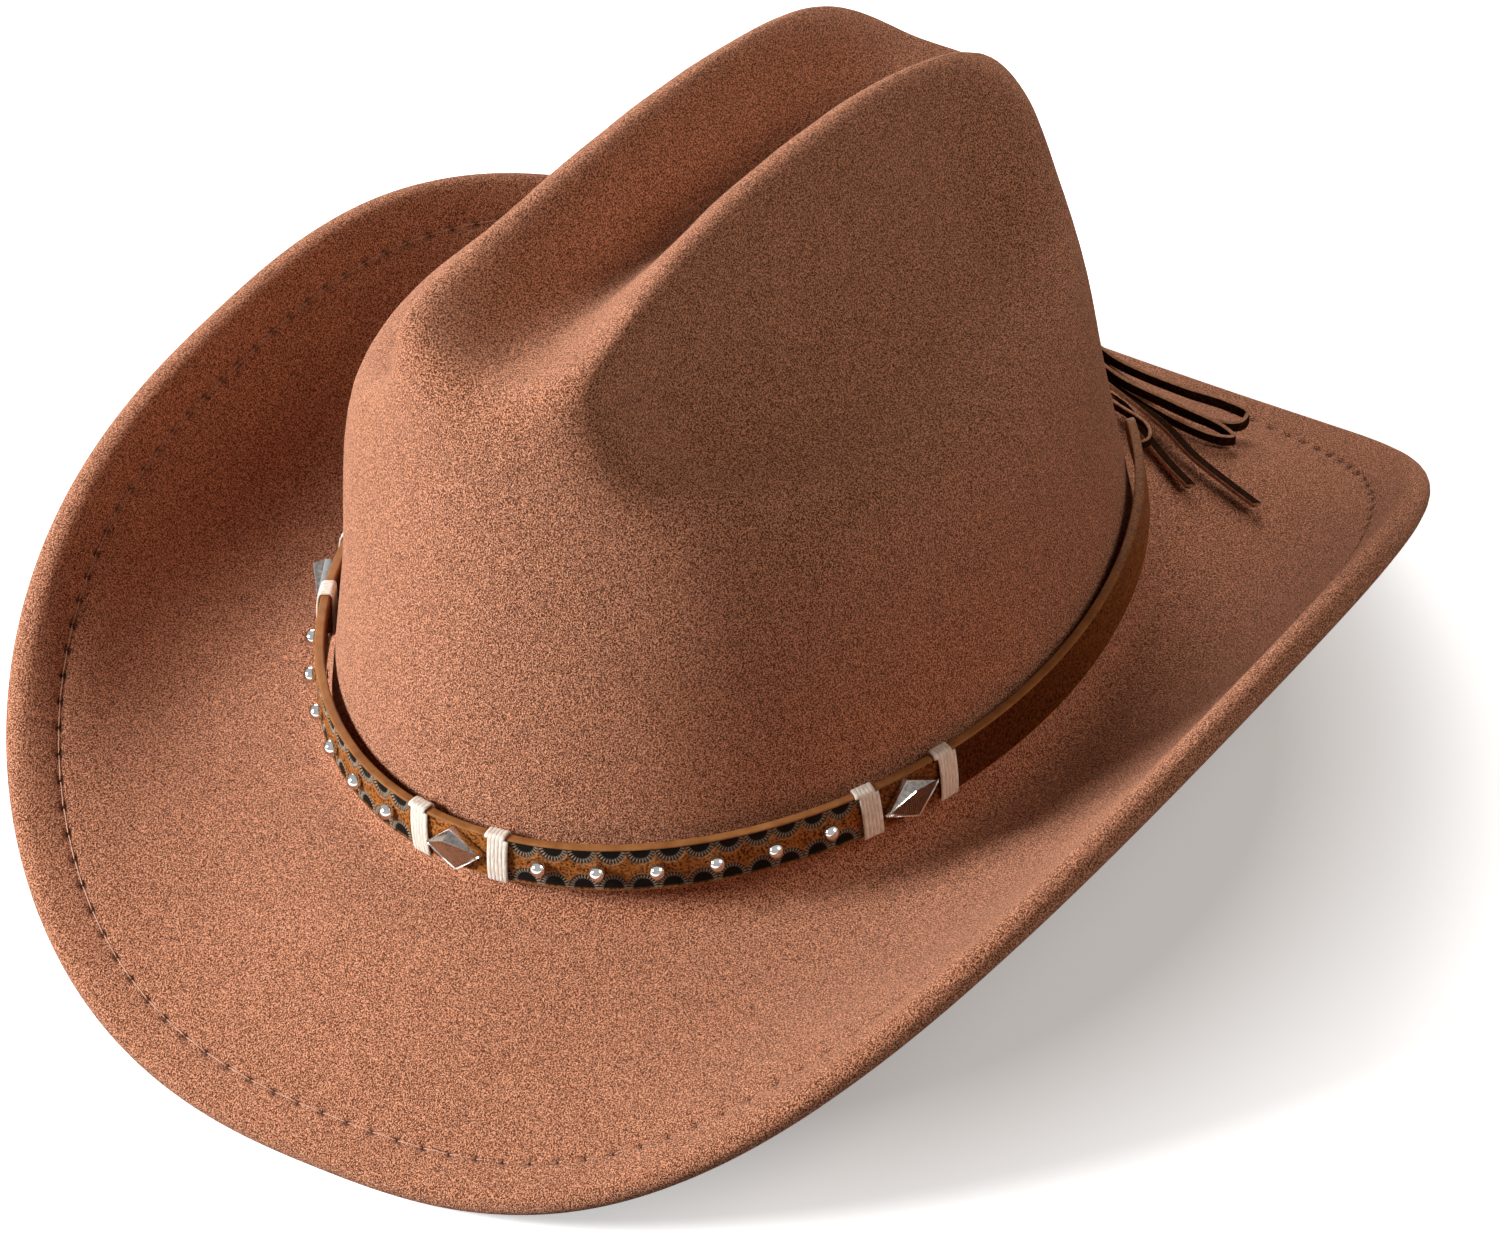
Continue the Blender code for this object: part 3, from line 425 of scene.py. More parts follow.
def on_strap(length, points):
    """Points given along, up and out from a place on the strap, in the hat's frame."""
    place, along, up, out = strap_frame(length)
    return [place + along * a + up * u + out * o for a, u, o in points]


def concho_lengths():
    return {"front": 0.0, "left": CONCHO_SPACING, "right": -CONCHO_SPACING}


def strap_end_inset(distance):
    """How much narrower the strap is on each edge, this far from its rounded end."""
    short = max(0.0, STRAP_END_RADIUS - distance)
    return STRAP_END_RADIUS - math.sqrt(STRAP_END_RADIUS**2 - short**2)


# Lace lines

def knot_frame():
    """The middle of the knot and the directions to the wearer's left, out and up from it."""
    angle = math.pi - KNOT_TURN
    foot = wall_point(angle, KNOT_HEIGHT - KNOT_WIDTH / 2, SEAT + KNOT_WIDTH / 2)
    left = unit(wall_point(angle - NEARBY, KNOT_HEIGHT) - wall_point(angle + NEARBY, KNOT_HEIGHT))
    return foot + UP * KNOT_WIDTH / 2, left, np.cross(UP, left), UP


def knot_point(left, out, up):
    middle, to_left, outwards, upwards = knot_frame()
    return middle + to_left * left + outwards * out + upwards * up


def lace_line(points, first, last):
    """The middle line of a lace through points, leaving and arriving in the given directions."""
    points = [np.asarray(point) for point in points]
    chords = [np.linalg.norm(b - a) for a, b in zip(points, points[1:])]
    steps = [max(1, round(chord / LACE_STEP)) for chord in chords]
    return spline(points, first * chords[0], last * chords[-1], steps)


def loose_lace_path(name):
    """The whole line of a loop of the bow, or of one of its two ends."""
    left = knot_frame()[1]
    face = KNOT_LENGTH / 2 + SEAT
    points = [knot_point(face + along * MM, out * MM, up * MM) for along, out, up in LACE_ROUTES[name]]
    looped = name.startswith("lace_loop")
    last = -left if looped else unit(points[-1] - points[-2])
    line = [points[0] + left * LACE_LEAD] + points[1:]
    if looped:
        line[-1] = points[-1] + left * LACE_LEAD
    lead = [points[0], points[0] + left * LACE_LEAD / 2]
    back = [points[-1] + left * LACE_LEAD / 2, points[-1]]
    return np.array(lead + lace_line(line, left, last) + back * looped)


def tie_path(sign):
    """The line of a lace from its hole in the strap, along the crown, to the knot."""
    left = knot_frame()[1]
    above = 2 * SEAT
    off_wall = TIE_GAP + LACE_RADIUS
    length = sign * LACE_HOLE
    bend = []
    for turn in (0, math.pi / 4, math.pi / 2):
        bend.append((sign * TIE_BEND * (1 - math.cos(turn)), 0, above + TIE_BEND * math.sin(turn)))
    points = on_strap(length, bend)
    points += on_strap(length + sign * LACE_HOLE_INSET, [(0, 0, above + TIE_BEND)])
    landing = angle_at(length + sign * (LACE_HOLE_INSET + TIE_LANDING))
    knot_angle = sign * math.pi - KNOT_TURN
    for share in TIE_SHARES:
        angle = landing + (knot_angle - landing) * share
        height = BAND_HEIGHT + (KNOT_HEIGHT - BAND_HEIGHT) * share
        points.append(wall_point(angle, height, off_wall))
    at_knot = knot_point(sign * (KNOT_LENGTH / 2 + SEAT), off_wall - SEAT - KNOT_WIDTH / 2, 0)
    points.append(at_knot + sign * left * LACE_LEAD)
    in_hole = on_strap(length, [(0, 0, -STRAP_THICKNESS)])
    return np.array(in_hole + lace_line(points, strap_frame(length)[3], -sign * left) + [at_knot])


# Making pieces

def grid_faces(columns, rows, closed_columns, closed_rows):
    """Corner numbers of the faces of a grid of points, column by column."""
    faces = []
    for column in range(columns if closed_columns else columns - 1):
        beside = (column + 1) % columns
        for row in range(rows if closed_rows else rows - 1):
            after = (row + 1) % rows
            here, there = column * rows, beside * rows
            faces.append((here + row, here + after, there + after, there + row))
    return faces


class Shape:
    """Points, faces and named values at the points, gathered for one piece."""

    def __init__(self):
        self.points, self.faces, self.values = [], [], {}

    def add(self, points, faces, **values):
        start = len(self.points)
        self.points += [tuple(point) for point in points]
        self.faces += [tuple(start + corner for corner in face) for face in faces]
        for name in set(self.values) | set(values):
            kept = self.values.setdefault(name, [0.0] * start)
            kept += list(values.get(name, [0.0] * len(points)))

    def add_loft(self, rings, closed=False, **values):
        """A skin over rings of points, with both ends closed unless the run of rings closes on itself."""
        count, sides = len(rings), len(rings[0])
        faces = grid_faces(count, sides, closed, True)
        if not closed:
            faces.append(tuple(range(sides - 1, -1, -1)))
            faces.append(tuple(range((count - 1) * sides, count * sides)))
        flat = {name: np.asarray(value).reshape(-1) for name, value in values.items()}
        self.add([point for ring in rings for point in ring], faces, **flat)

    def piece(self, name, body, look, replaced=(), sharp=None):
        data = bpy.data.meshes.new(name)
        data.from_pydata(self.points, [], self.faces)
        for key, value in self.values.items():
            data.attributes.new(key, "FLOAT", "POINT").data.foreach_set("value", np.array(value, "float32"))
        data.validate()
        turn_outwards(data)
        data.shade_smooth()
        if sharp is not None:
            data.set_sharp_from_angle(angle=sharp)
        data.materials.append(look)
        made = bpy.data.objects.new(name, data)
        bpy.context.scene.collection.objects.link(made)
        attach(made, body)
        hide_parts(*replaced)
        return made


def turn_outwards(data):
    """Makes every face of a closed mesh look outwards."""
    mesh = bmesh.new()
    mesh.from_mesh(data)
    bmesh.ops.recalc_face_normals(mesh, faces=mesh.faces)
    mesh.to_mesh(data)
    mesh.free()


def rounded_section(half_width, half_height, radius, steps, spans=(1, 1, 1, 1)):
    """Points round a section with rounded corners; spans are the steps along its straight sides."""
    arcs = []
    for start, right, up in ((0, 1, 1), (90, -1, 1), (180, -1, -1), (270, 1, -1)):
        centre = np.array([right * (half_width - radius), up * (half_height - radius)])
        turns = [math.radians(start + 90 * step / steps) for step in range(steps + 1)]
        arcs.append([centre + radius * np.array([math.cos(turn), math.sin(turn)]) for turn in turns])
    points = []
    for arc, after, count in zip(arcs, arcs[1:] + arcs[:1], spans):
        points += arc + [arc[-1] + (after[0] - arc[-1]) * step / count for step in range(1, count)]
    return points


def flat_outline(width, thickness, corner=0.3, steps=3):
    """A flat section with rounded corners: places across and out, and how far each is on a narrow side."""
    radius = corner * thickness
    points = rounded_section(width / 2, thickness / 2, radius, steps)
    return points, [1.0 if abs(point[0]) > width / 2 - 0.75 * radius else 0.0 for point in points]


def round_outline(half_width, half_height, sides):
    """A round section: places across and out, none of them on a narrow side."""
    turns = [math.tau * side / sides for side in range(sides)]
    return [(half_width * math.cos(turn), half_height * math.sin(turn)) for turn in turns], [0.0] * sides


def sweep(shape, path, wide, outline, cut, closed=False):
    """Adds a strip along a line; wide is the direction across its face, at each point or at all of them."""
    path = np.asarray(path)
    along = directions(path, closed)
    wide = across(along, np.asarray(wide))
    out = np.cross(along, wide)
    rings = []
    for index, place in enumerate(path):
        rings.append([place + wide[index] * a + out[index] * o for a, o in outline])
    count = len(outline)
    shape.add_loft(rings, closed, cut_edge=np.tile(cut, (len(path), 1)),
                   run=np.repeat(run_lengths(path)[:, None], count, axis=1),
                   girth=np.tile(np.arange(count) / count, (len(path), 1)))


# Materials

class Look:
    """A material and the shader nodes that make it."""

    def __init__(self, name, roughness, metallic=0.0, **sockets):
        self.made = bpy.data.materials.new(name)
        self.made.use_nodes = True
        self.nodes = self.made.node_tree.nodes
        self.links = self.made.node_tree.links
        self.shader = self.nodes["Principled BSDF"]
        self.shader.inputs["Roughness"].default_value = roughness
        self.shader.inputs["Metallic"].default_value = metallic
        for socket, value in sockets.items():
            self.shader.inputs[socket.replace("_", " ")].default_value = value
        self.place = self.nodes.new("ShaderNodeTexCoord").outputs["Object"]

    def link(self, output, socket):
        self.links.new(output, self.shader.inputs[socket])

    def feed(self, socket, given):
        """Sets a socket to a number or a colour, or links it to the output of a node."""
        if isinstance(given, (int, float)) and socket.type == "VALUE":
            socket.default_value = given
        elif isinstance(given, (int, float, tuple)):
            colour = given if isinstance(given, tuple) else (given, given, given)
            socket.default_value = (*colour, 1.0)[:len(socket.default_value)]
        else:
            self.links.new(given, socket)

    def node(self, kind, output, **sockets):
        """Adds a node with its sockets fed, and gives back one of its outputs."""
        made = self.nodes.new("ShaderNode" + kind)
        for name, given in sockets.items():
            self.feed(made.inputs[name], given)
        return made.outputs[output]

    def noise(self, scale, detail=2.0, roughness=0.5, distortion=0.0, place=None):
        return self.node("TexNoise", "Fac", Scale=scale, Detail=detail, Roughness=roughness,
                         Distortion=distortion, Vector=place or self.place)

    def value(self, name):
        node = self.nodes.new("ShaderNodeAttribute")
        node.attribute_name = name
        return node.outputs["Fac"]

    def ramp(self, factor, *stops):
        """Colours or grey levels along a factor; each stop is a place and a colour or a level."""
        node = self.nodes.new("ShaderNodeValToRGB")
        elements = node.color_ramp.elements
        while len(elements) < len(stops):
            elements.new(0.5)
        for element, (place, colour) in zip(elements, stops):
            element.position = place
            element.color = (*colour, 1.0) if isinstance(colour, tuple) else (colour, colour, colour, 1.0)
        self.links.new(factor, node.inputs["Fac"])
        return node.outputs["Color"]

    def math(self, operation, one, two):
        node = self.nodes.new("ShaderNodeMath")
        node.operation = operation
        self.feed(node.inputs[0], one)
        self.feed(node.inputs[1], two)
        return node.outputs["Value"]

    def mix(self, factor, one, two, blend="MIX"):
        node = self.nodes.new("ShaderNodeMix")
        node.data_type = "RGBA"
        node.blend_type = blend
        colours = [socket for socket in node.inputs if socket.type == "RGBA"]
        self.feed(colours[0], one)
        self.feed(colours[1], two)
        self.feed(node.inputs[0], factor)
        return [socket for socket in node.outputs if socket.type == "RGBA"][0]

    def bump(self, height, strength, distance):
        self.link(self.node("Bump", "Normal", Strength=strength, Distance=distance, Height=height), "Normal")


def felt_look():
    look = Look("felt_nap", 0.9, Specular_IOR_Level=0.0, Sheen_Weight=0.18, Sheen_Roughness=0.5)
    look.shader.inputs["Sheen Tint"].default_value = (1.0, 0.88, 0.76, 1.0)
    grain = look.noise(3000, detail=1.5, roughness=0.6, distortion=0.2)
    patch = look.noise(160, detail=3, roughness=0.6)
    flecks = look.ramp(grain, (0.40, (0.14, 0.040, 0.016)), (0.50, (0.57, 0.217, 0.112)),
                       (0.60, (1.00, 0.46, 0.27)))
    patches = look.ramp(patch, (0.30, 0.96), (0.70, 1.03))
    colour = look.mix(1.0, flecks, patches, "MULTIPLY")
    shaded = look.mix(look.value("stitch_shade"), colour, (0.085, 0.028, 0.014))
    look.link(shaded, "Base Color")
    look.bump(grain, 1.0, 0.0010)
    return look.made


def plain_look(name, roughness, scale, dark, light, strength, distance, **sockets):
    """A material with one grain, which sets both its tone and its relief."""
    look = Look(name, roughness, **sockets)
    grain = look.noise(scale)
    look.link(look.ramp(grain, (0.3, dark), (0.7, light)), "Base Color")
    look.bump(grain, strength, distance)
    return look.made


def strap_look():
    look = Look("tooled_leather", 0.5, Specular_IOR_Level=0.06)
    pebble = look.noise(1700, detail=2, roughness=0.55)
    wear = look.noise(260, detail=3)
    field = look.ramp(pebble, (0.38, (0.05, 0.014, 0.004)), (0.50, (0.30, 0.098, 0.021)),
                      (0.70, (0.46, 0.17, 0.040)))
    dark = look.ramp(pebble, (0.35, (0.022, 0.005, 0.0016)), (0.65, (0.126, 0.032, 0.0090)))
    # dark plain leather, with painted shade past the side conchos and painted light towards the rear
    body = look.mix(look.value("plain"), field, dark)
    # black dye in the tooled lobes, and painted shade in the dent round the lace hole
    dyed_and_hole_shaded = look.mix(look.value("dye"), body, (0.008, 0.006, 0.005))
    # painted highlight on the tick ridges and round each lobe
    tick_highlights = look.mix(look.value("tick"), dyed_and_hole_shaded, (0.46, 0.36, 0.27))
    tan = look.ramp(wear, (0.3, (0.24, 0.092, 0.028)), (0.7, (0.37, 0.155, 0.052)))
    # tan cut edge, which fades into a painted shade towards the rear
    look.link(look.mix(look.value("cut_edge"), tick_highlights, tan), "Base Color")
    look.link(look.ramp(wear, (0.3, 0.42), (0.7, 0.62)), "Roughness")
    look.bump(pebble, 0.5, 0.0002)
    return look.made


def metal_look(name, colour, dull, roughness, bright_edges_and_ribs=None):
    """Worn metal, with polished edges and painted highlights on ribs where a piece has a value for them."""
    look = Look(name, roughness, 1.0)
    wear = look.noise(900, detail=4, roughness=0.65)
    stretched = look.node("Mapping", "Vector", Scale=(300, 2600, 900), Vector=look.place)
    scratches = look.noise(1.0, detail=2, place=stretched)
    plate = look.ramp(wear, (0.35, dull), (0.65, colour))
    look.link(look.mix(look.value("bead"), plate, bright_edges_and_ribs) if bright_edges_and_ribs else plate, "Base Color")
    look.link(look.ramp(scratches, (0.3, roughness * 0.7), (0.8, roughness * 1.6)), "Roughness")
    look.bump(wear, 0.05, 0.0001)
    return look.made


def cord_look():
    look = Look("waxed_thread", 0.6, Specular_IOR_Level=0.35, Sheen_Weight=0.2)
    run = look.math("MULTIPLY", look.value("run"), 500)
    girth = look.math("MULTIPLY", look.value("girth"), 9)
    fibres = look.noise(1.0, detail=3, roughness=0.6, place=look.node("CombineXYZ", "Vector", X=run, Y=girth))
    tone = look.noise(420, detail=2)
    strands = look.ramp(fibres, (0.3, (0.66, 0.55, 0.45)), (0.6, (0.93, 0.85, 0.75)))
    patches = look.ramp(tone, (0.3, 0.92), (0.7, 1.05))
    look.link(look.mix(1.0, strands, patches, "MULTIPLY"), "Base Color")
    look.bump(fibres, 0.7, 0.0002)
    return look.made


def lace_look():
    look = Look("cut_lace", 0.8, Specular_IOR_Level=0.0)
    grain = look.noise(1300, detail=3, roughness=0.6)
    face = look.ramp(grain, (0.3, (0.010, 0.0045, 0.003)), (0.7, (0.048, 0.020, 0.011)))
    edge = look.ramp(grain, (0.3, (0.30, 0.14, 0.075)), (0.7, (0.60, 0.33, 0.20)))
    look.link(look.mix(look.value("cut_edge"), face, edge), "Base Color")
    look.bump(grain, 0.35, 0.0002)
    return look.made


felt = felt_look()
thread = plain_look("sewing_thread", 0.45, 2200, (0.30, 0.125, 0.070), (0.72, 0.40, 0.27), 0.5, 0.0001,
                    Specular_IOR_Level=0.6)
ribbon = plain_look("ribbed_ribbon", 0.7, 1800, (0.014, 0.009, 0.007), (0.045, 0.028, 0.02), 0.4, 0.0002,
                    Sheen_Weight=0.2)
leather = strap_look()
nickel = metal_look("nickel_plate", (0.88, 0.86, 0.83), (0.70, 0.67, 0.64), 0.09)
concho_metal = metal_look("concho_nickel", (0.50, 0.45, 0.42), (0.28, 0.24, 0.21), 0.14, (0.97, 0.96, 0.94))
steel = metal_look("drawn_steel", (0.56, 0.56, 0.57), (0.42, 0.42, 0.43), 0.35)
brass = metal_look("crimped_brass", (0.62, 0.44, 0.20), (0.46, 0.31, 0.14), 0.38)
cord = cord_look()
lace = lace_look()


# Camera

CAMERA_RIGHT = (0.8238244, 0.5609419, -0.0815939)
CAMERA_UP = (-0.3020899, 0.5562695, 0.7741485)
CAMERA_BACK = (0.4796405, -0.6131138, 0.6277232)
CAMERA_PLACE = (1.4748945, -1.8763249, 1.9778490)
camera_data = bpy.data.cameras.new("camera")
camera_data.lens = 326.6387
camera_data.sensor_width = 36.0
camera_data.shift_x = 0.0114285
camera_data.shift_y = -0.03252
camera_data.clip_end = 50
camera = bpy.data.objects.new("camera", camera_data)
bpy.context.scene.collection.objects.link(camera)
turned = Matrix((CAMERA_RIGHT, CAMERA_UP, CAMERA_BACK)).transposed().to_4x4()
camera.matrix_world = Matrix.Translation(CAMERA_PLACE) @ turned
bpy.context.scene.camera = camera


# Loose laces of the bow

def loose_laces():
    """Flat laces: a loop stands on its edge, and an end turns over to lie on its face."""
    section = flat_outline(LACE_WIDTH, LACE_THICKNESS, corner=0.14)
    for name in LACE_ROUTES:
        path = loose_lace_path(name)
        along = directions(path)
        upright = across(along, UP)
        wide = upright
        looped = name.startswith("lace_loop")
        if not looped:
            level = np.cross(along, upright)
            share = run_lengths(path) / run_lengths(path)[-1]
            turn = np.array([TAIL_TURN * smooth(value / 0.5) for value in share])[:, None]
            wide = upright * np.cos(turn) + level * np.sin(turn)
        shape = Shape()
        sweep(shape, path, wide, *section)
        made = shape.piece(name.replace("lace", "bow"), "band", lace, [name])


loose_laces()


# Felt

def even_angles(count):
    """Angles at even steps along the stitch row, the same on both sides of the hat."""
    fine = np.linspace(0, math.tau, 4001)
    lengths = run_lengths([hem_point(angle, stitch_place(angle), EDGE_RADIUS) for angle in fine])
    return np.interp((np.arange(count) + 0.5) / count * lengths[-1], lengths, fine)


HAT_ANGLES = even_angles(HAT_COLUMNS)
CROWN_STEPS = (10, 8, 8, 8)
WALL_STEPS = 5
BREAK_STEPS = 6
BRIM_STEPS = 18
# Millimetres from the stitch row
GROOVE_PLACES = (-2.2, -1.5, -1.0, -0.65, -0.35, 0.0, 0.35, 0.65, 1.0, 1.5, 2.2)
FLAT_STEPS = 5  # between the groove and the rolled edge
ROLL_STEPS = 10
NEEDLE_COLUMN = 2  # the column, of each stitch's five, where the needle went in
STITCH_PITCH = 6.1  # millimetres
SEAM_SUNK = 0.0005  # how much deeper the stitches lie on the wearer's left
VALLEY = 0.50  # millimetres, how deep the seam draws the felt down
VALLEY_WIDTH = 3.4  # millimetres
GROOVE_WIDTH = 0.9  # millimetres
GROOVE_DEPTH = 0.12  # millimetres, between two needle holes
HOLE_DEPTH = 1.15  # millimetres more, at a needle hole
HOLE_LENGTH = 0.8  # millimetres, along the seam
HOLE_SHADE = 0.7  # millimetres
BACK_PUCKER = 0.3  # how much wider and deeper the holes are at the back
FLAP_DIMPLE = 0.0003  # how far the stitches draw the flap up
FLAP_LOW_RUN, FLAP_LOW_RISE = 0.0006, 0.0007  # the lower corner of its cut end
FLAP_TOP_CORNER = 0.0005
CHANNEL_STEPS = 6
SLOW_WAVE, SLOW_HEIGHT = 26, 0.0007  # waves per metre, and metres
QUICK_WAVE, QUICK_HEIGHT = 75, 0.0002


def felt_skin():
    """The top of the felt from crease to hem, a row of points for each angle."""
    columns = []
    for angle in HAT_ANGLES:
        crown = crown_profile(angle, CROWN_STEPS)
        top, foot = crown[-1], wall_point(angle, WALL_FOOT)
        wall = [top + (foot - top) * step / WALL_STEPS for step in range(1, WALL_STEPS + 1)]
        columns.append(crown + wall + brim_profile(angle, BREAK_STEPS, BRIM_STEPS))
    return np.array(columns)


def skin_normals(skin):
    """Directions straight out of the top skin; the two halves of the crown pair up at the crease."""
    round_hat = np.roll(skin, -1, axis=0) - np.roll(skin, 1, axis=0)
    beyond_crease = skin[::-1, 1:2]
    beyond_hem = 2 * skin[:, -1:] - skin[:, -2:-1]
    padded = np.concatenate([beyond_crease, skin, beyond_hem], axis=1)
    normals = np.cross(padded[:, 2:] - padded[:, :-2], round_hat)
    return normals / np.linalg.norm(normals, axis=2, keepdims=True)


def waviness(skin):
    """How far hand shaping leaves the felt off its smooth shape, fading out at the band and at the hem."""
    rows = skin.shape[1]
    crown_rows = sum(CROWN_STEPS)
    brim_start = crown_rows + WALL_STEPS + BREAK_STEPS
    weights = np.zeros(rows)
    weights[:crown_rows] = [smooth((crown_rows - row) / 10) for row in range(crown_rows)]
    weights[brim_start:] = [math.sin(math.pi * (row - brim_start) / (rows - 1 - brim_start))
                            for row in range(brim_start, rows)]
    moves = np.zeros(skin.shape[:2])
    for column in range(skin.shape[0]):
        for row in range(rows):
            if weights[row]:
                place = Vector(skin[column, row])
                slow, quick = noise.noise(place * SLOW_WAVE), noise.noise(place * QUICK_WAVE)
                moves[column, row] = weights[row] * (SLOW_HEIGHT * slow + QUICK_HEIGHT * quick)
    moves[:, :1] = (moves[:, :1] + moves[::-1, :1]) / 2
    return moves


def hem_section(angle, hole):
    """The hem in section with its groove: places out and up, and the shade of the needle's hole.

    hole is 1 where the needle went in and falls to 0 between two holes.
    """
    stitch = stitch_place(angle)
    pucker = 1 + BACK_PUCKER * (1 - math.cos(angle)) / 2
    under = EDGE_RADIUS - FELT
    flap_end = stitch - FLAP_PAST_STITCH
    flap_top = under - PLY_GAP
    flap_low = flap_top - FELT
    section, shade = [], []
    for place in GROOVE_PLACES:
        depth = bell(place, GROOVE_WIDTH) * (GROOVE_DEPTH + HOLE_DEPTH * hole) * pucker
        depth += VALLEY * bell(place, VALLEY_WIDTH)
        section.append((stitch + place * MM, EDGE_RADIUS - depth * MM))
        shade.append(float(bell(place, HOLE_SHADE * pucker)) * hole)
    groove_end = section[-1][0]
    for step in range(1, FLAT_STEPS):
        out = groove_end * (1 - step / FLAT_STEPS)
        section.append((out, EDGE_RADIUS - VALLEY * bell((out - stitch) / MM, VALLEY_WIDTH) * MM))
    for step in range(ROLL_STEPS + 1):
        turn = math.pi * step / ROLL_STEPS
        section.append((EDGE_RADIUS * math.sin(turn), EDGE_RADIUS * math.cos(turn)))
    section += [(-FOLD_LENGTH / 2, (flap_low - EDGE_RADIUS) / 2), (-FOLD_LENGTH, flap_low)]
    section += [(stitch, flap_low + FLAP_DIMPLE * hole), (flap_end + FLAP_LOW_RUN, flap_low)]
    section += [(flap_end, flap_low + FLAP_LOW_RISE), (flap_end, flap_top - FLAP_TOP_CORNER)]
    section += [(flap_end + FLAP_TOP_CORNER, flap_top), (-FOLD_LENGTH, flap_top)]
    lip = math.acos(flap_top / CHANNEL_RADIUS)
    for step in range(CHANNEL_STEPS + 1):
        turn = (math.tau - lip) * (1 - step / CHANNEL_STEPS)
        section.append((CHANNEL_RADIUS * math.sin(turn), CHANNEL_RADIUS * math.cos(turn)))
    section.append((flap_end, under))
    return section, shade + [0.0] * (len(section) - len(shade))


def seam_valley(skin):
    """How deep the brim lies beside its stitch row, where the seam draws the felt down."""
    steps = np.linalg.norm(np.diff(skin[:, ::-1], axis=1), axis=2)
    from_end = np.concatenate([np.zeros((len(skin), 1)), np.cumsum(steps, axis=1)], axis=1)[:, ::-1]
    return VALLEY * bell((from_end + FLAP_PAST_STITCH) / MM, VALLEY_WIDTH) * MM


def felt_body():
    skin = felt_skin()
    normals = skin_normals(skin)
    skin = skin + normals * (waviness(skin) - seam_valley(skin))[:, :, None]
    lining = (skin - skin_normals(skin) * FELT)[:, -2::-1]
    last_row = lining.shape[1] - 1
    lining = lining[:, sorted(set(range(1, last_row, 2)) | {last_row})]
    columns, shade_columns = [], []
    for column, angle in enumerate(HAT_ANGLES):
        centre, along, normal = edge_frame(angle)
        from_hole = (column % STITCH_COLUMNS - NEEDLE_COLUMN) * STITCH_PITCH / STITCH_COLUMNS
        section, section_shade = hem_section(angle, float(bell(from_hole, HOLE_LENGTH)))
        edge = [centre + along * out + normal * up for out, up in section]
        points = np.concatenate([skin[column], edge, lining[column]])
        points[:, 2] = np.maximum(points[:, 2], 0.0)
        columns.append(points)
        shade = np.zeros(len(points))
        shade[skin.shape[1]:skin.shape[1] + len(edge)] = section_shade
        shade_columns.append(shade)
    points = np.array(columns)
    rows = points.shape[1]
    numbers = np.arange(HAT_COLUMNS * rows).reshape(HAT_COLUMNS, rows)
    half = HAT_COLUMNS // 2
    for row in (0, rows - 1):
        numbers[half:, row] = numbers[:half, row][::-1]
    used, compact = np.unique(numbers, return_inverse=True)
    welded = compact.reshape(-1).tolist()
    faces = []
    for face in grid_faces(HAT_COLUMNS, rows, True, False):
        faces.append(tuple(dict.fromkeys(welded[corner] for corner in face)))
    shape = Shape()
    shape.add(points.reshape(-1, 3)[used], [face for face in faces if len(face) > 2],
              stitch_shade=np.array(shade_columns).reshape(-1)[used])
    shape.piece("felt_hat", "hat", felt, ["felt_body"])


felt_body()


# Stitches

STITCH_SIDES = 6
STITCH_SHARES = (0.04, 0.09, 0.16, 0.26, 0.38, 0.5, 0.62, 0.74, 0.84, 0.91, 0.96)
HEM_STITCH_LIFT, HEM_STITCH_DEPTH = -0.00066, 0.0012
RIBBON_STITCH_LIFT, RIBBON_STITCH_DEPTH = 0.00025, 0.0006
RIBBON_COLUMNS = 700
RIBBON_STITCHES = 112
RIBBON_RIB = 0.00012
RIBBON_EDGE = 0.0002  # how far its corners are rounded off


def stitch_row(shape, holes, up, lift, depth):
    """Separate stitches: each rises out of one hole, lies on the surface and goes into the next hole."""
    for start, end, rise in zip(holes, holes[1:] + holes[:1], up):
        path = []
        for share in STITCH_SHARES:
            height = lift - (lift + depth) * (2 * abs(share - 0.5)) ** 5
            path.append(start + (end - start) * share + rise * height)
        sweep(shape, path, rise, *round_outline(STITCH_RADIUS, STITCH_RADIUS, STITCH_SIDES))


def hem_stitches():
    angles = HAT_ANGLES[NEEDLE_COLUMN::STITCH_COLUMNS]
    sunk = [SEAM_SUNK * smooth(math.sin(angle) * 2) for angle in angles]
    holes = [hem_point(angle, stitch_place(angle), EDGE_RADIUS - low) for angle, low in zip(angles, sunk)]
    up = [edge_frame(angle)[2] for angle in angles]
    shape = Shape()
    stitch_row(shape, holes, up, HEM_STITCH_LIFT, HEM_STITCH_DEPTH)
    shape.piece("hem_stitches", "hat", thread, ["hem_thread"])


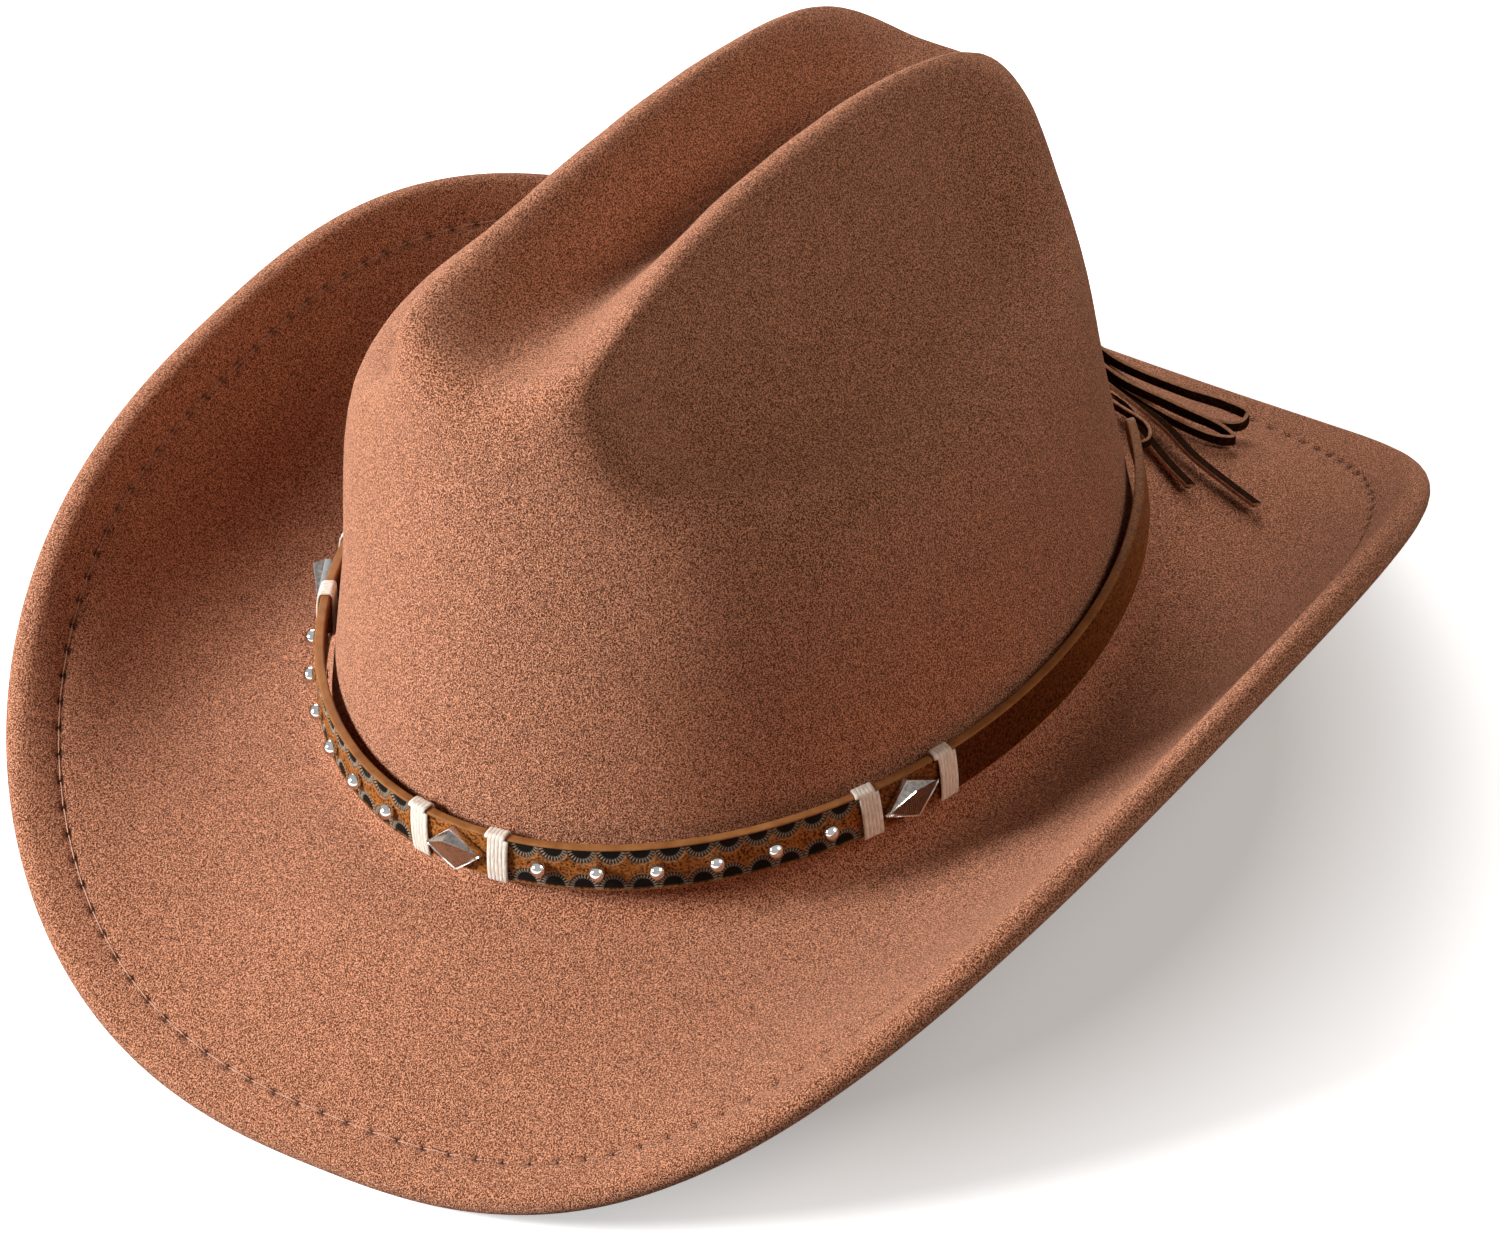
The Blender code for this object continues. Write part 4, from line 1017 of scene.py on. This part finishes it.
def sweatband():
    """Ribbed ribbon with its stitch row."""
    low, high = WALL_FOOT, WALL_FOOT + RIBBON_HEIGHT
    outer = -(FELT * math.hypot(1, WALL_LEAN_FRONT) + SEAT)
    inner = outer - RIBBON_THICKNESS
    heights = np.linspace(0.03, 0.97, 9)
    rings = []
    for column in range(RIBBON_COLUMNS):
        angle = (column + 0.5) * math.tau / RIBBON_COLUMNS
        ridge = RIBBON_RIB * (column % 2)
        ring = [(low, outer - RIBBON_EDGE)]
        ring += [(low + RIBBON_HEIGHT * share, outer) for share in heights]
        ring += [(high, outer - RIBBON_EDGE), (high, inner + RIBBON_EDGE)]
        ring += [(low + RIBBON_HEIGHT * share, inner + ridge) for share in heights[::-1]]
        ring.append((low, inner + RIBBON_EDGE))
        rings.append([wall_point(angle, height, out) for height, out in ring])
    shape = Shape()
    shape.add_loft(rings, closed=True)
    made = shape.piece("sweatband_ribbon", "hat", ribbon, ["sweatband"])
    angles = [(index + 0.5) * math.tau / RIBBON_STITCHES for index in range(RIBBON_STITCHES)]
    holes = [wall_point(angle, low + RIBBON_SEAM, inner) for angle in angles]
    up = [-vector(outward(angle, HEAD_WIDTH / 2, HEAD_LENGTH / 2), 0.0) for angle in angles]
    stitches = Shape()
    stitch_row(stitches, holes, up, RIBBON_STITCH_LIFT, RIBBON_STITCH_DEPTH)
    seam = stitches.piece("sweatband_stitches", "hat", thread, ["sweatband_thread"])


hem_stitches()
sweatband()


# Strap

TOOLED_START = WRAP_OFFSET + WRAP_HALF_WIDTH - 0.0005
TOOLED_END = CONCHO_SPACING - TOOLED_START
PLAIN_START = CONCHO_SPACING + WRAP_OFFSET
LOBE_REACH = 3.6  # millimetres, from the border of the strap to the end of a lobe
LOBE_RIM = 0.66  # the ticked rim starts at this share of a lobe
LOBE_END = 1.06  # its dye ends at this share
LOBE_TICKS = 13
BORDER_UPPER, BORDER_LOWER = 0.35, 0.75  # millimetres
STRAP_STEP, TOOLED_STEP = 0.0012, 0.00020
TOOLING_DEPTH = 0.34  # millimetres
TICK_RISE = 0.28  # millimetres
GLINT = 0.30  # painted highlight: the light line round a lobe
STRAP_SHADE_START = CONCHO_SPACING - WRAP_OFFSET  # painted shade: the leather darkens from here
STRAP_SHADE_SHARE = 0.6
REAR_LIGHT_START = PLAIN_START + 0.012  # and turns a lighter amber from here, a painted light
REAR_LIGHT_RUN = 0.085
REAR_LIGHT_SHARE = 0.62
# painted shade: the cut edge darkens towards the rear by this share
REAR_EDGE_SHADE = 0.6
STRAP_ROUNDING = 0.00045
STRAP_ROWS = 50  # over its outer face
BACK_ROWS = 8
EDGE_STEPS = 4
HOLE_DENT = 0.9  # millimetres, round the hole for the lace
HOLE_DENT_WIDTH = 0.0017


def tooling(length, height):
    """Depth of the tooling in millimetres at a place on the strap, and shares of dye and of painted highlight
    on the ticks and round each lobe.
    """
    along, high = abs(length) / MM, height / MM
    if not TOOLED_START / MM < along < TOOLED_END / MM:
        return 0.0, 0.0, 0.0
    pitch = STUD_PITCH / MM / 2
    offset = (along - STUD_FIRST / MM) % pitch - pitch / 2
    half = STRAP_WIDTH / MM / 2
    inside = half - (BORDER_UPPER if high > 0 else BORDER_LOWER) - abs(high)
    if inside < 0:
        return 0.0, 0.35, 0.0
    reach = math.hypot(offset / (pitch / 2), inside / LOBE_REACH)
    # painted highlight in a thin line just outside each lobe
    glint = GLINT * float(bell(reach - 1.10, 0.035))
    edge = smooth((LOBE_END - reach) / 0.10)
    if reach < LOBE_RIM or reach > LOBE_END:
        return TOOLING_DEPTH * edge, edge, glint
    turn = math.atan2(inside / LOBE_REACH, offset / (pitch / 2))
    tick = (0.5 + 0.5 * math.cos(turn * 2 * LOBE_TICKS)) ** 2
    fade = smooth((reach - LOBE_RIM) / 0.08) * smooth((1.02 - reach) / 0.08)
    return (TOOLING_DEPTH - TICK_RISE * tick * fade) * edge, edge, max(glint, tick * fade)


def strap_steps():
    """Lengths along the strap, close together where it is tooled or rounded."""
    coarse = np.arange(0, STRAP_HALF_LENGTH - STRAP_END_RADIUS, STRAP_STEP)
    fine = np.arange(TOOLED_START, TOOLED_END, TOOLED_STEP)
    tip = STRAP_HALF_LENGTH - STRAP_END_RADIUS * (1 - np.sin(np.linspace(0, math.pi / 2, 14)))
    half = np.concatenate([coarse[coarse < TOOLED_START], fine, coarse[coarse > TOOLED_END], tip])
    return np.concatenate([-half[:0:-1], half])


def band_strap():
    rings, values = [], {"dye": [], "tick": [], "cut_edge": [], "plain": []}
    for length in strap_steps():
        angle, past = angle_at(length), abs(length)
        half = STRAP_WIDTH / 2 - strap_end_inset(STRAP_HALF_LENGTH - past)
        rounding = min(STRAP_ROUNDING, half * 0.4)
        flat = half - rounding
        places = []
        for step in range(STRAP_ROWS + 1):
            high = flat * (2 * step / STRAP_ROWS - 1)
            # the third share is a painted highlight on the tick ridges and round each lobe
            depth, dye, tick = tooling(length, high)
            # the dent round the lace hole, also darkened with the dye colour as a painted shade in the hole
            dent = float(bell(math.hypot(past - LACE_HOLE, high), HOLE_DENT_WIDTH))
            out = STRAP_THICKNESS - (depth + HOLE_DENT * dent) * MM
            places.append((out, high, max(dye, dent), tick, 0.0))
        for side in (1, -1):
            for start in (0, 90):
                centre = STRAP_THICKNESS - rounding if start == (0 if side > 0 else 90) else rounding
                for step in range(EDGE_STEPS + 1):
                    turn = math.radians(start + 90 * step / EDGE_STEPS)
                    out, high = math.cos(turn) * side, math.sin(turn) * side
                    places.append((centre + rounding * out, side * flat + rounding * high, 0, 0, 1.0))
            if side > 0:
                for step in range(1, BACK_ROWS):
                    places.append((0.0, flat * (1 - 2 * step / BACK_ROWS), 0.0, 0.0, 0.0))
        # painted light: the plain leather turns a lighter amber towards the rear, and its cut edge takes a
        # painted shade
        rear_light = smooth((past - REAR_LIGHT_START) / REAR_LIGHT_RUN)
        # painted shade on the leather past the side conchos
        strap_shade = STRAP_SHADE_SHARE * smooth((past - STRAP_SHADE_START) / 0.004)
        plain = max(smooth((past - PLAIN_START) / 0.002), strap_shade) * (1 - REAR_LIGHT_SHARE * rear_light)
        rings.append([strap_point(angle, place[0], place[1]) for place in places])
        values["dye"].append([place[2] for place in places])
        values["tick"].append([place[3] for place in places])
        values["cut_edge"].append([place[4] * (1 - REAR_EDGE_SHADE * rear_light) for place in places])
        values["plain"].append([plain] * len(places))
    shape = Shape()
    shape.add_loft(rings, **values)
    shape.piece("tooled_strap", "band", leather, ["band_strap"])


band_strap()


# Metal trim

STUD_SIDES = 28
STUD_STEPS = 14
POST_SIDES = 16
RIB_HEIGHT = 0.00010
# painted highlight along the top of every other rib
RIB_SHINE = 0.55
BEAD_HEIGHT = 0.00028
CONCHO_COLUMNS = 61
CONCHO_SHARES = (0.0, 0.03, 0.06, 0.10, 0.14, 0.3, 0.5, 0.7, 0.86, 0.92, 0.96, 1.0, 1.04, 1.1, 1.3, 1.6, 1.82,
                 1.9, 1.95, 2.0)  # from the lower edge, 0, over the ridge, 1, to the upper edge, 2
CONCHO_BACK = 0.00005  # between its back and the strap
CONCHO_TIP = 0.994  # its tips are blunt from this share of its length


def lathe(length, profile, sides):
    """Rings round an axis that stands on the strap; each profile point is a radius and a height."""
    rings = []
    for radius, out in profile:
        ring = round_outline(radius, radius, sides)[0]
        rings.append(on_strap(length, [(along, up, out) for along, up in ring]))
    return rings


def shank_profile(radius):
    behind = -(STRAP_THICKNESS + SEAT)
    tail = radius + CLINCH
    return [(radius, 0.0), (radius, behind), (tail, behind), (tail * 0.9, behind - TAIL_THICKNESS)]


def studs():
    """Ball-headed rivets."""
    middle = STUD_RISE + SEAT - STUD_RADIUS
    low = math.asin(-0.5 * middle / STUD_RADIUS)
    profile = []
    for step in range(STUD_STEPS + 1):
        turn = math.pi / 2 + (low - math.pi / 2) * step / STUD_STEPS
        profile.append((max(STUD_RADIUS * math.cos(turn), 0.00004), middle + STUD_RADIUS * math.sin(turn)))
    profile += [(STUD_RADIUS * 0.86, 0.00005)] + shank_profile(STUD_SHANK)
    for side, sign in SIDES.items():
        for index in range(STUD_COUNT):
            name = f"stud_{side}_{index + 1}"
            shape = Shape()
            shape.add_loft(lathe(sign * (STUD_FIRST + STUD_PITCH * index), profile, STUD_SIDES))
            shape.piece("ball_" + name, "band", nickel, [name], sharp=math.radians(40))


def concho_point(a, share, rib):
    """A place on a concho's face at a length along it; share runs from the lower edge, 0, over the ridge, 1,
    to the upper edge, 2.
    """
    taper = 1 - abs(a) / (CONCHO_LENGTH / 2)
    low, ridge, high = -CONCHO_HEIGHT / 2 * taper, CONCHO_PEAK * taper, CONCHO_HEIGHT / 2 * taper
    rim = CONCHO_RIM + SEAT / 2
    if share <= 1:
        up, out = low + (ridge - low) * share, rim + CONCHO_RISE * taper * share
        inner = min(share / 0.12, (1 - share) / 0.06, 1.0)
        out += RIB_HEIGHT * rib * smooth(inner) * smooth(taper / 0.1)
    else:
        up, out = ridge + (high - ridge) * (share - 1), rim + CONCHO_RISE * taper * (2 - share)
    return a, up, out + BEAD_HEIGHT * concho_bead(share) * smooth(taper / 0.08)


def concho_bead(share):
    """How much of a raised bright edge lies at a share of the way over a concho."""
    return float(max(bell(share, 0.045), bell(share - 2, 0.09), 0.7 * bell(share - 1, 0.03)))


def tilted(ring, degrees):
    """Points given along, up and out, turned about an axis that stands on the strap."""
    c, s = math.cos(math.radians(degrees)), math.sin(math.radians(degrees))
    return [(a * c - u * s, a * s + u * c, o) for a, u, o in ring]


def conchos():
    """Faceted diamond plates with a ribbed lower face, a bright beaded edge and a post through the strap."""
    places = np.linspace(-CONCHO_TIP, CONCHO_TIP, CONCHO_COLUMNS) * CONCHO_LENGTH / 2
    for place, length in concho_lengths().items():
        rings, beads_and_rib_shine = [], []
        for index, a in enumerate(places):
            rib = 1.0 if index % 2 else -1.0
            face = [concho_point(a, share, rib) for share in CONCHO_SHARES]
            back = [(a, face[-1][1], CONCHO_BACK), (a, face[0][1], CONCHO_BACK)]
            rings.append(on_strap(length, tilted(face + back, CONCHO_TILTS[place])))
            # painted highlight on the raised ribs, besides the polished bead
            rib_highlight = RIB_SHINE if rib > 0 else 0.0
            bright = [max(concho_bead(share), rib_highlight * (0.1 < share < 0.9)) for share in CONCHO_SHARES]
            beads_and_rib_shine.append(bright + [0.0, 0.0])
        shape = Shape()
        shape.add_loft(rings, bead=beads_and_rib_shine)
        shape.add_loft(lathe(length, shank_profile(CONCHO_POST), POST_SIDES))
        shape.piece(f"faceted_concho_{place}", "band", concho_metal, [f"concho_{place}"],
                    sharp=math.radians(12))


studs()
conchos()


# Thread windings

WINDING_TURNS = 5
WINDING_WIDTH = 0.00136
WINDING_HEIGHT = 0.00066
WINDING_PITCH = 0.00092
WINDING_SWELL = 0.00050  # how far the middle of the outer side stands off the strap
WINDING_OFF = 0.00006  # between the thread and the strap
WINDING_CORNER = 0.0003
WINDING_SWAY = 0.00012
WINDING_SLANT = 0.035
WINDING_SIDES = 10


def winding_outline():
    """Depths and heights once round the strap, at the middle of a thread that lies on it."""
    off = WINDING_HEIGHT / 2 + WINDING_OFF
    middle = STRAP_THICKNESS / 2
    section = rounded_section(middle + off, STRAP_WIDTH / 2 + off, off + WINDING_CORNER, 4, (2, 8, 2, 8))
    return [(middle + depth, height) for depth, height in section]


def windings():
    """Waxed thread wound five times round the strap at each tip of the conchos."""
    outline = winding_outline()
    count = len(outline)
    section = round_outline(WINDING_WIDTH / 2, WINDING_HEIGHT / 2, WINDING_SIDES)
    ends = {"front": (("right", -1), ("left", 1)), "left": (("front", -1), ("back", 1)),
            "right": (("front", 1), ("back", -1))}
    draw = random.Random(11)
    for place, length in concho_lengths().items():
        for name, sign in ends[place]:
            start = length + sign * WRAP_OFFSET - WINDING_PITCH * WINDING_TURNS / 2
            path, wide = [], []
            sway = [draw.uniform(-WINDING_SWAY, WINDING_SWAY) for _ in range(WINDING_TURNS + 1)]
            for index in range(count * WINDING_TURNS + 1):
                depth, height = outline[index % count]
                turn, share = divmod(index / count, 1)
                drift = sway[int(turn)] * math.sin(math.pi * share) ** 2 + WINDING_SLANT * height * sign
                if depth > STRAP_THICKNESS:
                    depth += WINDING_SWELL * max(0.0, 1 - (2 * height / STRAP_WIDTH) ** 2)
                along = start + WINDING_PITCH * index / count + drift
                path.append(strap_point(angle_at(along), depth, height))
                wide.append(strap_frame(along)[1])
            shape = Shape()
            sweep(shape, path, wide, *section)
            shape.piece(f"winding_{place}_{name}", "band", cord, [f"wrap_{place}_{name}"])


windings()


# Tied lace

KNOT_CORE = (0.0034, 0.0036)  # half its size outwards and upwards
KNOT_TAPER = 0.35
KNOT_FOLD = 0.06
KNOT_SIDES = 24
KNOT_RINGS = 13
KNOT_BINDINGS = ((-0.0026, 0.10), (0.0001, 0.16), (0.0027, 0.08))  # places along the knot, and how they lean
BINDING = (0.0038, 0.0039)  # half its size outwards and upwards
BINDING_STEPS = 40
BINDING_SECTION = (LACE_WIDTH, LACE_THICKNESS * 0.8)
TIE_SECTION = (LACE_WIDTH * 0.92, LACE_THICKNESS * 0.85)


def ties():
    section = flat_outline(*TIE_SECTION)
    for side, sign in SIDES.items():
        path = tie_path(sign)
        shape = Shape()
        sweep(shape, path, UP, *section)
        shape.piece(f"bow_tie_{side}", "band", lace, [f"lace_tie_{side}"])


def knot():
    """A gathered core with turns of lace bound round it."""
    shape = Shape()
    rings = []
    for share in np.linspace(-1, 1, KNOT_RINGS):
        size = 1 - abs(share) ** 4 * KNOT_TAPER
        ring = []
        for side in range(KNOT_SIDES):
            turn = math.tau * side / KNOT_SIDES
            fold = size * (1 + KNOT_FOLD * math.cos(6 * turn))
            out, up = KNOT_CORE[0] * fold * math.cos(turn), KNOT_CORE[1] * fold * math.sin(turn)
            ring.append(knot_point(share * KNOT_LENGTH / 2, out, up))
        rings.append(ring)
    shape.add_loft(rings)
    section = flat_outline(*BINDING_SECTION)
    left = knot_frame()[1]
    for offset, tilt in KNOT_BINDINGS:
        path = []
        for step in range(BINDING_STEPS):
            turn = math.tau * step / BINDING_STEPS
            out, up = BINDING[0] * math.cos(turn), BINDING[1] * math.sin(turn)
            path.append(knot_point(offset + tilt * up, out, up))
        sweep(shape, path, left, *section, closed=True)
    shape.piece("bow_knot", "band", lace, ["lace_knot"])


ties()
knot()


# Pieces that keep their own shape

for node, look in (("brim_wire", steel), ("brim_wire_sleeve", brass)):
    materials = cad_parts[node].data.materials
    materials.clear()
    materials.append(look)


# Floor and light

FLOOR_HALF = 6.0
FLOOR_GLOW_AND_SHADOW = ((0.125, 0.27), (0.150, 0.47), (0.190, 0.78))  # metres from the middle, and strength; weaker near the hat, a painted shadow round it
FLOOR_BOUNCE = 0.32
LIGHT_DISTANCE = 2.0
LIGHT_AIM = 0.06
WALLS_SEEN = 0.50
WALLS_LIGHT = 0.02


def floor():
    data = bpy.data.meshes.new("floor")
    corners = [(x * FLOOR_HALF, y * FLOOR_HALF, 0) for x, y in ((-1, -1), (1, -1), (1, 1), (-1, 1))]
    data.from_pydata(corners, [], [(0, 1, 2, 3)])
    made = bpy.data.objects.new("floor", data)
    bpy.context.scene.collection.objects.link(made)
    look = Look("floor_paper", 0.9, Specular_IOR_Level=0.0)
    tone = look.noise(3.0, detail=2)
    path = look.nodes.new("ShaderNodeLightPath")
    seen = look.math("ADD", path.outputs["Is Camera Ray"], path.outputs["Is Glossy Ray"])
    seen = look.math("ADD", seen, path.outputs["Is Transmission Ray"])
    paper = look.ramp(tone, (0.0, 0.90), (1.0, 0.93))
    look.link(look.mix(seen, FLOOR_BOUNCE, paper), "Base Color")
    look.shader.inputs["Emission Color"].default_value = (1.0, 1.0, 1.0, 1.0)
    away = look.nodes.new("ShaderNodeVectorMath")
    away.operation = "LENGTH"
    look.links.new(look.place, away.inputs[0])
    # the floor glows less near the hat: a painted shadow round it
    glow_and_shadow = look.ramp(away.outputs["Value"], *FLOOR_GLOW_AND_SHADOW)
    look.link(look.math("MULTIPLY", seen, glow_and_shadow), "Emission Strength")
    data.materials.append(look.made)


def area_light(name, turn, rise, size, watts, colour=(1.0, 1.0, 1.0)):
    """A round soft light that looks at the hat; turn goes from the camera's left towards the camera."""
    data = bpy.data.lights.new(name, "AREA")
    data.shape = "DISK"
    data.size = size
    data.energy = watts
    data.color = colour
    left = unit(np.array(CAMERA_RIGHT) * (-1, -1, 0))
    near = unit(np.array(CAMERA_BACK) * (1, 1, 0))
    turn, rise = math.radians(turn), math.radians(rise)
    level = left * math.cos(turn) + near * math.sin(turn)
    direction = Vector(level * math.cos(rise) + UP * math.sin(rise))
    made = bpy.data.objects.new(name, data)
    made.location = direction * LIGHT_DISTANCE + Vector((0, 0, LIGHT_AIM))
    made.rotation_euler = direction.to_track_quat("Z", "Y").to_euler()
    bpy.context.scene.collection.objects.link(made)


floor()
area_light("key", 12, 26, 0.7, 62)
area_light("fill", 165, 40, 1.2, 13, (1.0, 0.88, 0.78))
area_light("behind", -90, 22, 1.2, 28)


def surround():
    """A dim room that metal sees as pale walls."""
    world = bpy.data.worlds.new("studio")
    world.use_nodes = True
    nodes, links = world.node_tree.nodes, world.node_tree.links
    path = nodes.new("ShaderNodeLightPath")
    strength = nodes.new("ShaderNodeMath")
    strength.operation = "MULTIPLY_ADD"
    links.new(path.outputs["Is Glossy Ray"], strength.inputs[0])
    strength.inputs[1].default_value = WALLS_SEEN
    strength.inputs[2].default_value = WALLS_LIGHT
    nodes["Background"].inputs["Color"].default_value = (1.0, 1.0, 1.0, 1.0)
    links.new(strength.outputs["Value"], nodes["Background"].inputs["Strength"])
    bpy.context.scene.world = world


surround()
bpy.context.scene.view_settings.view_transform = "Standard"

bpy.context.view_layer.update()
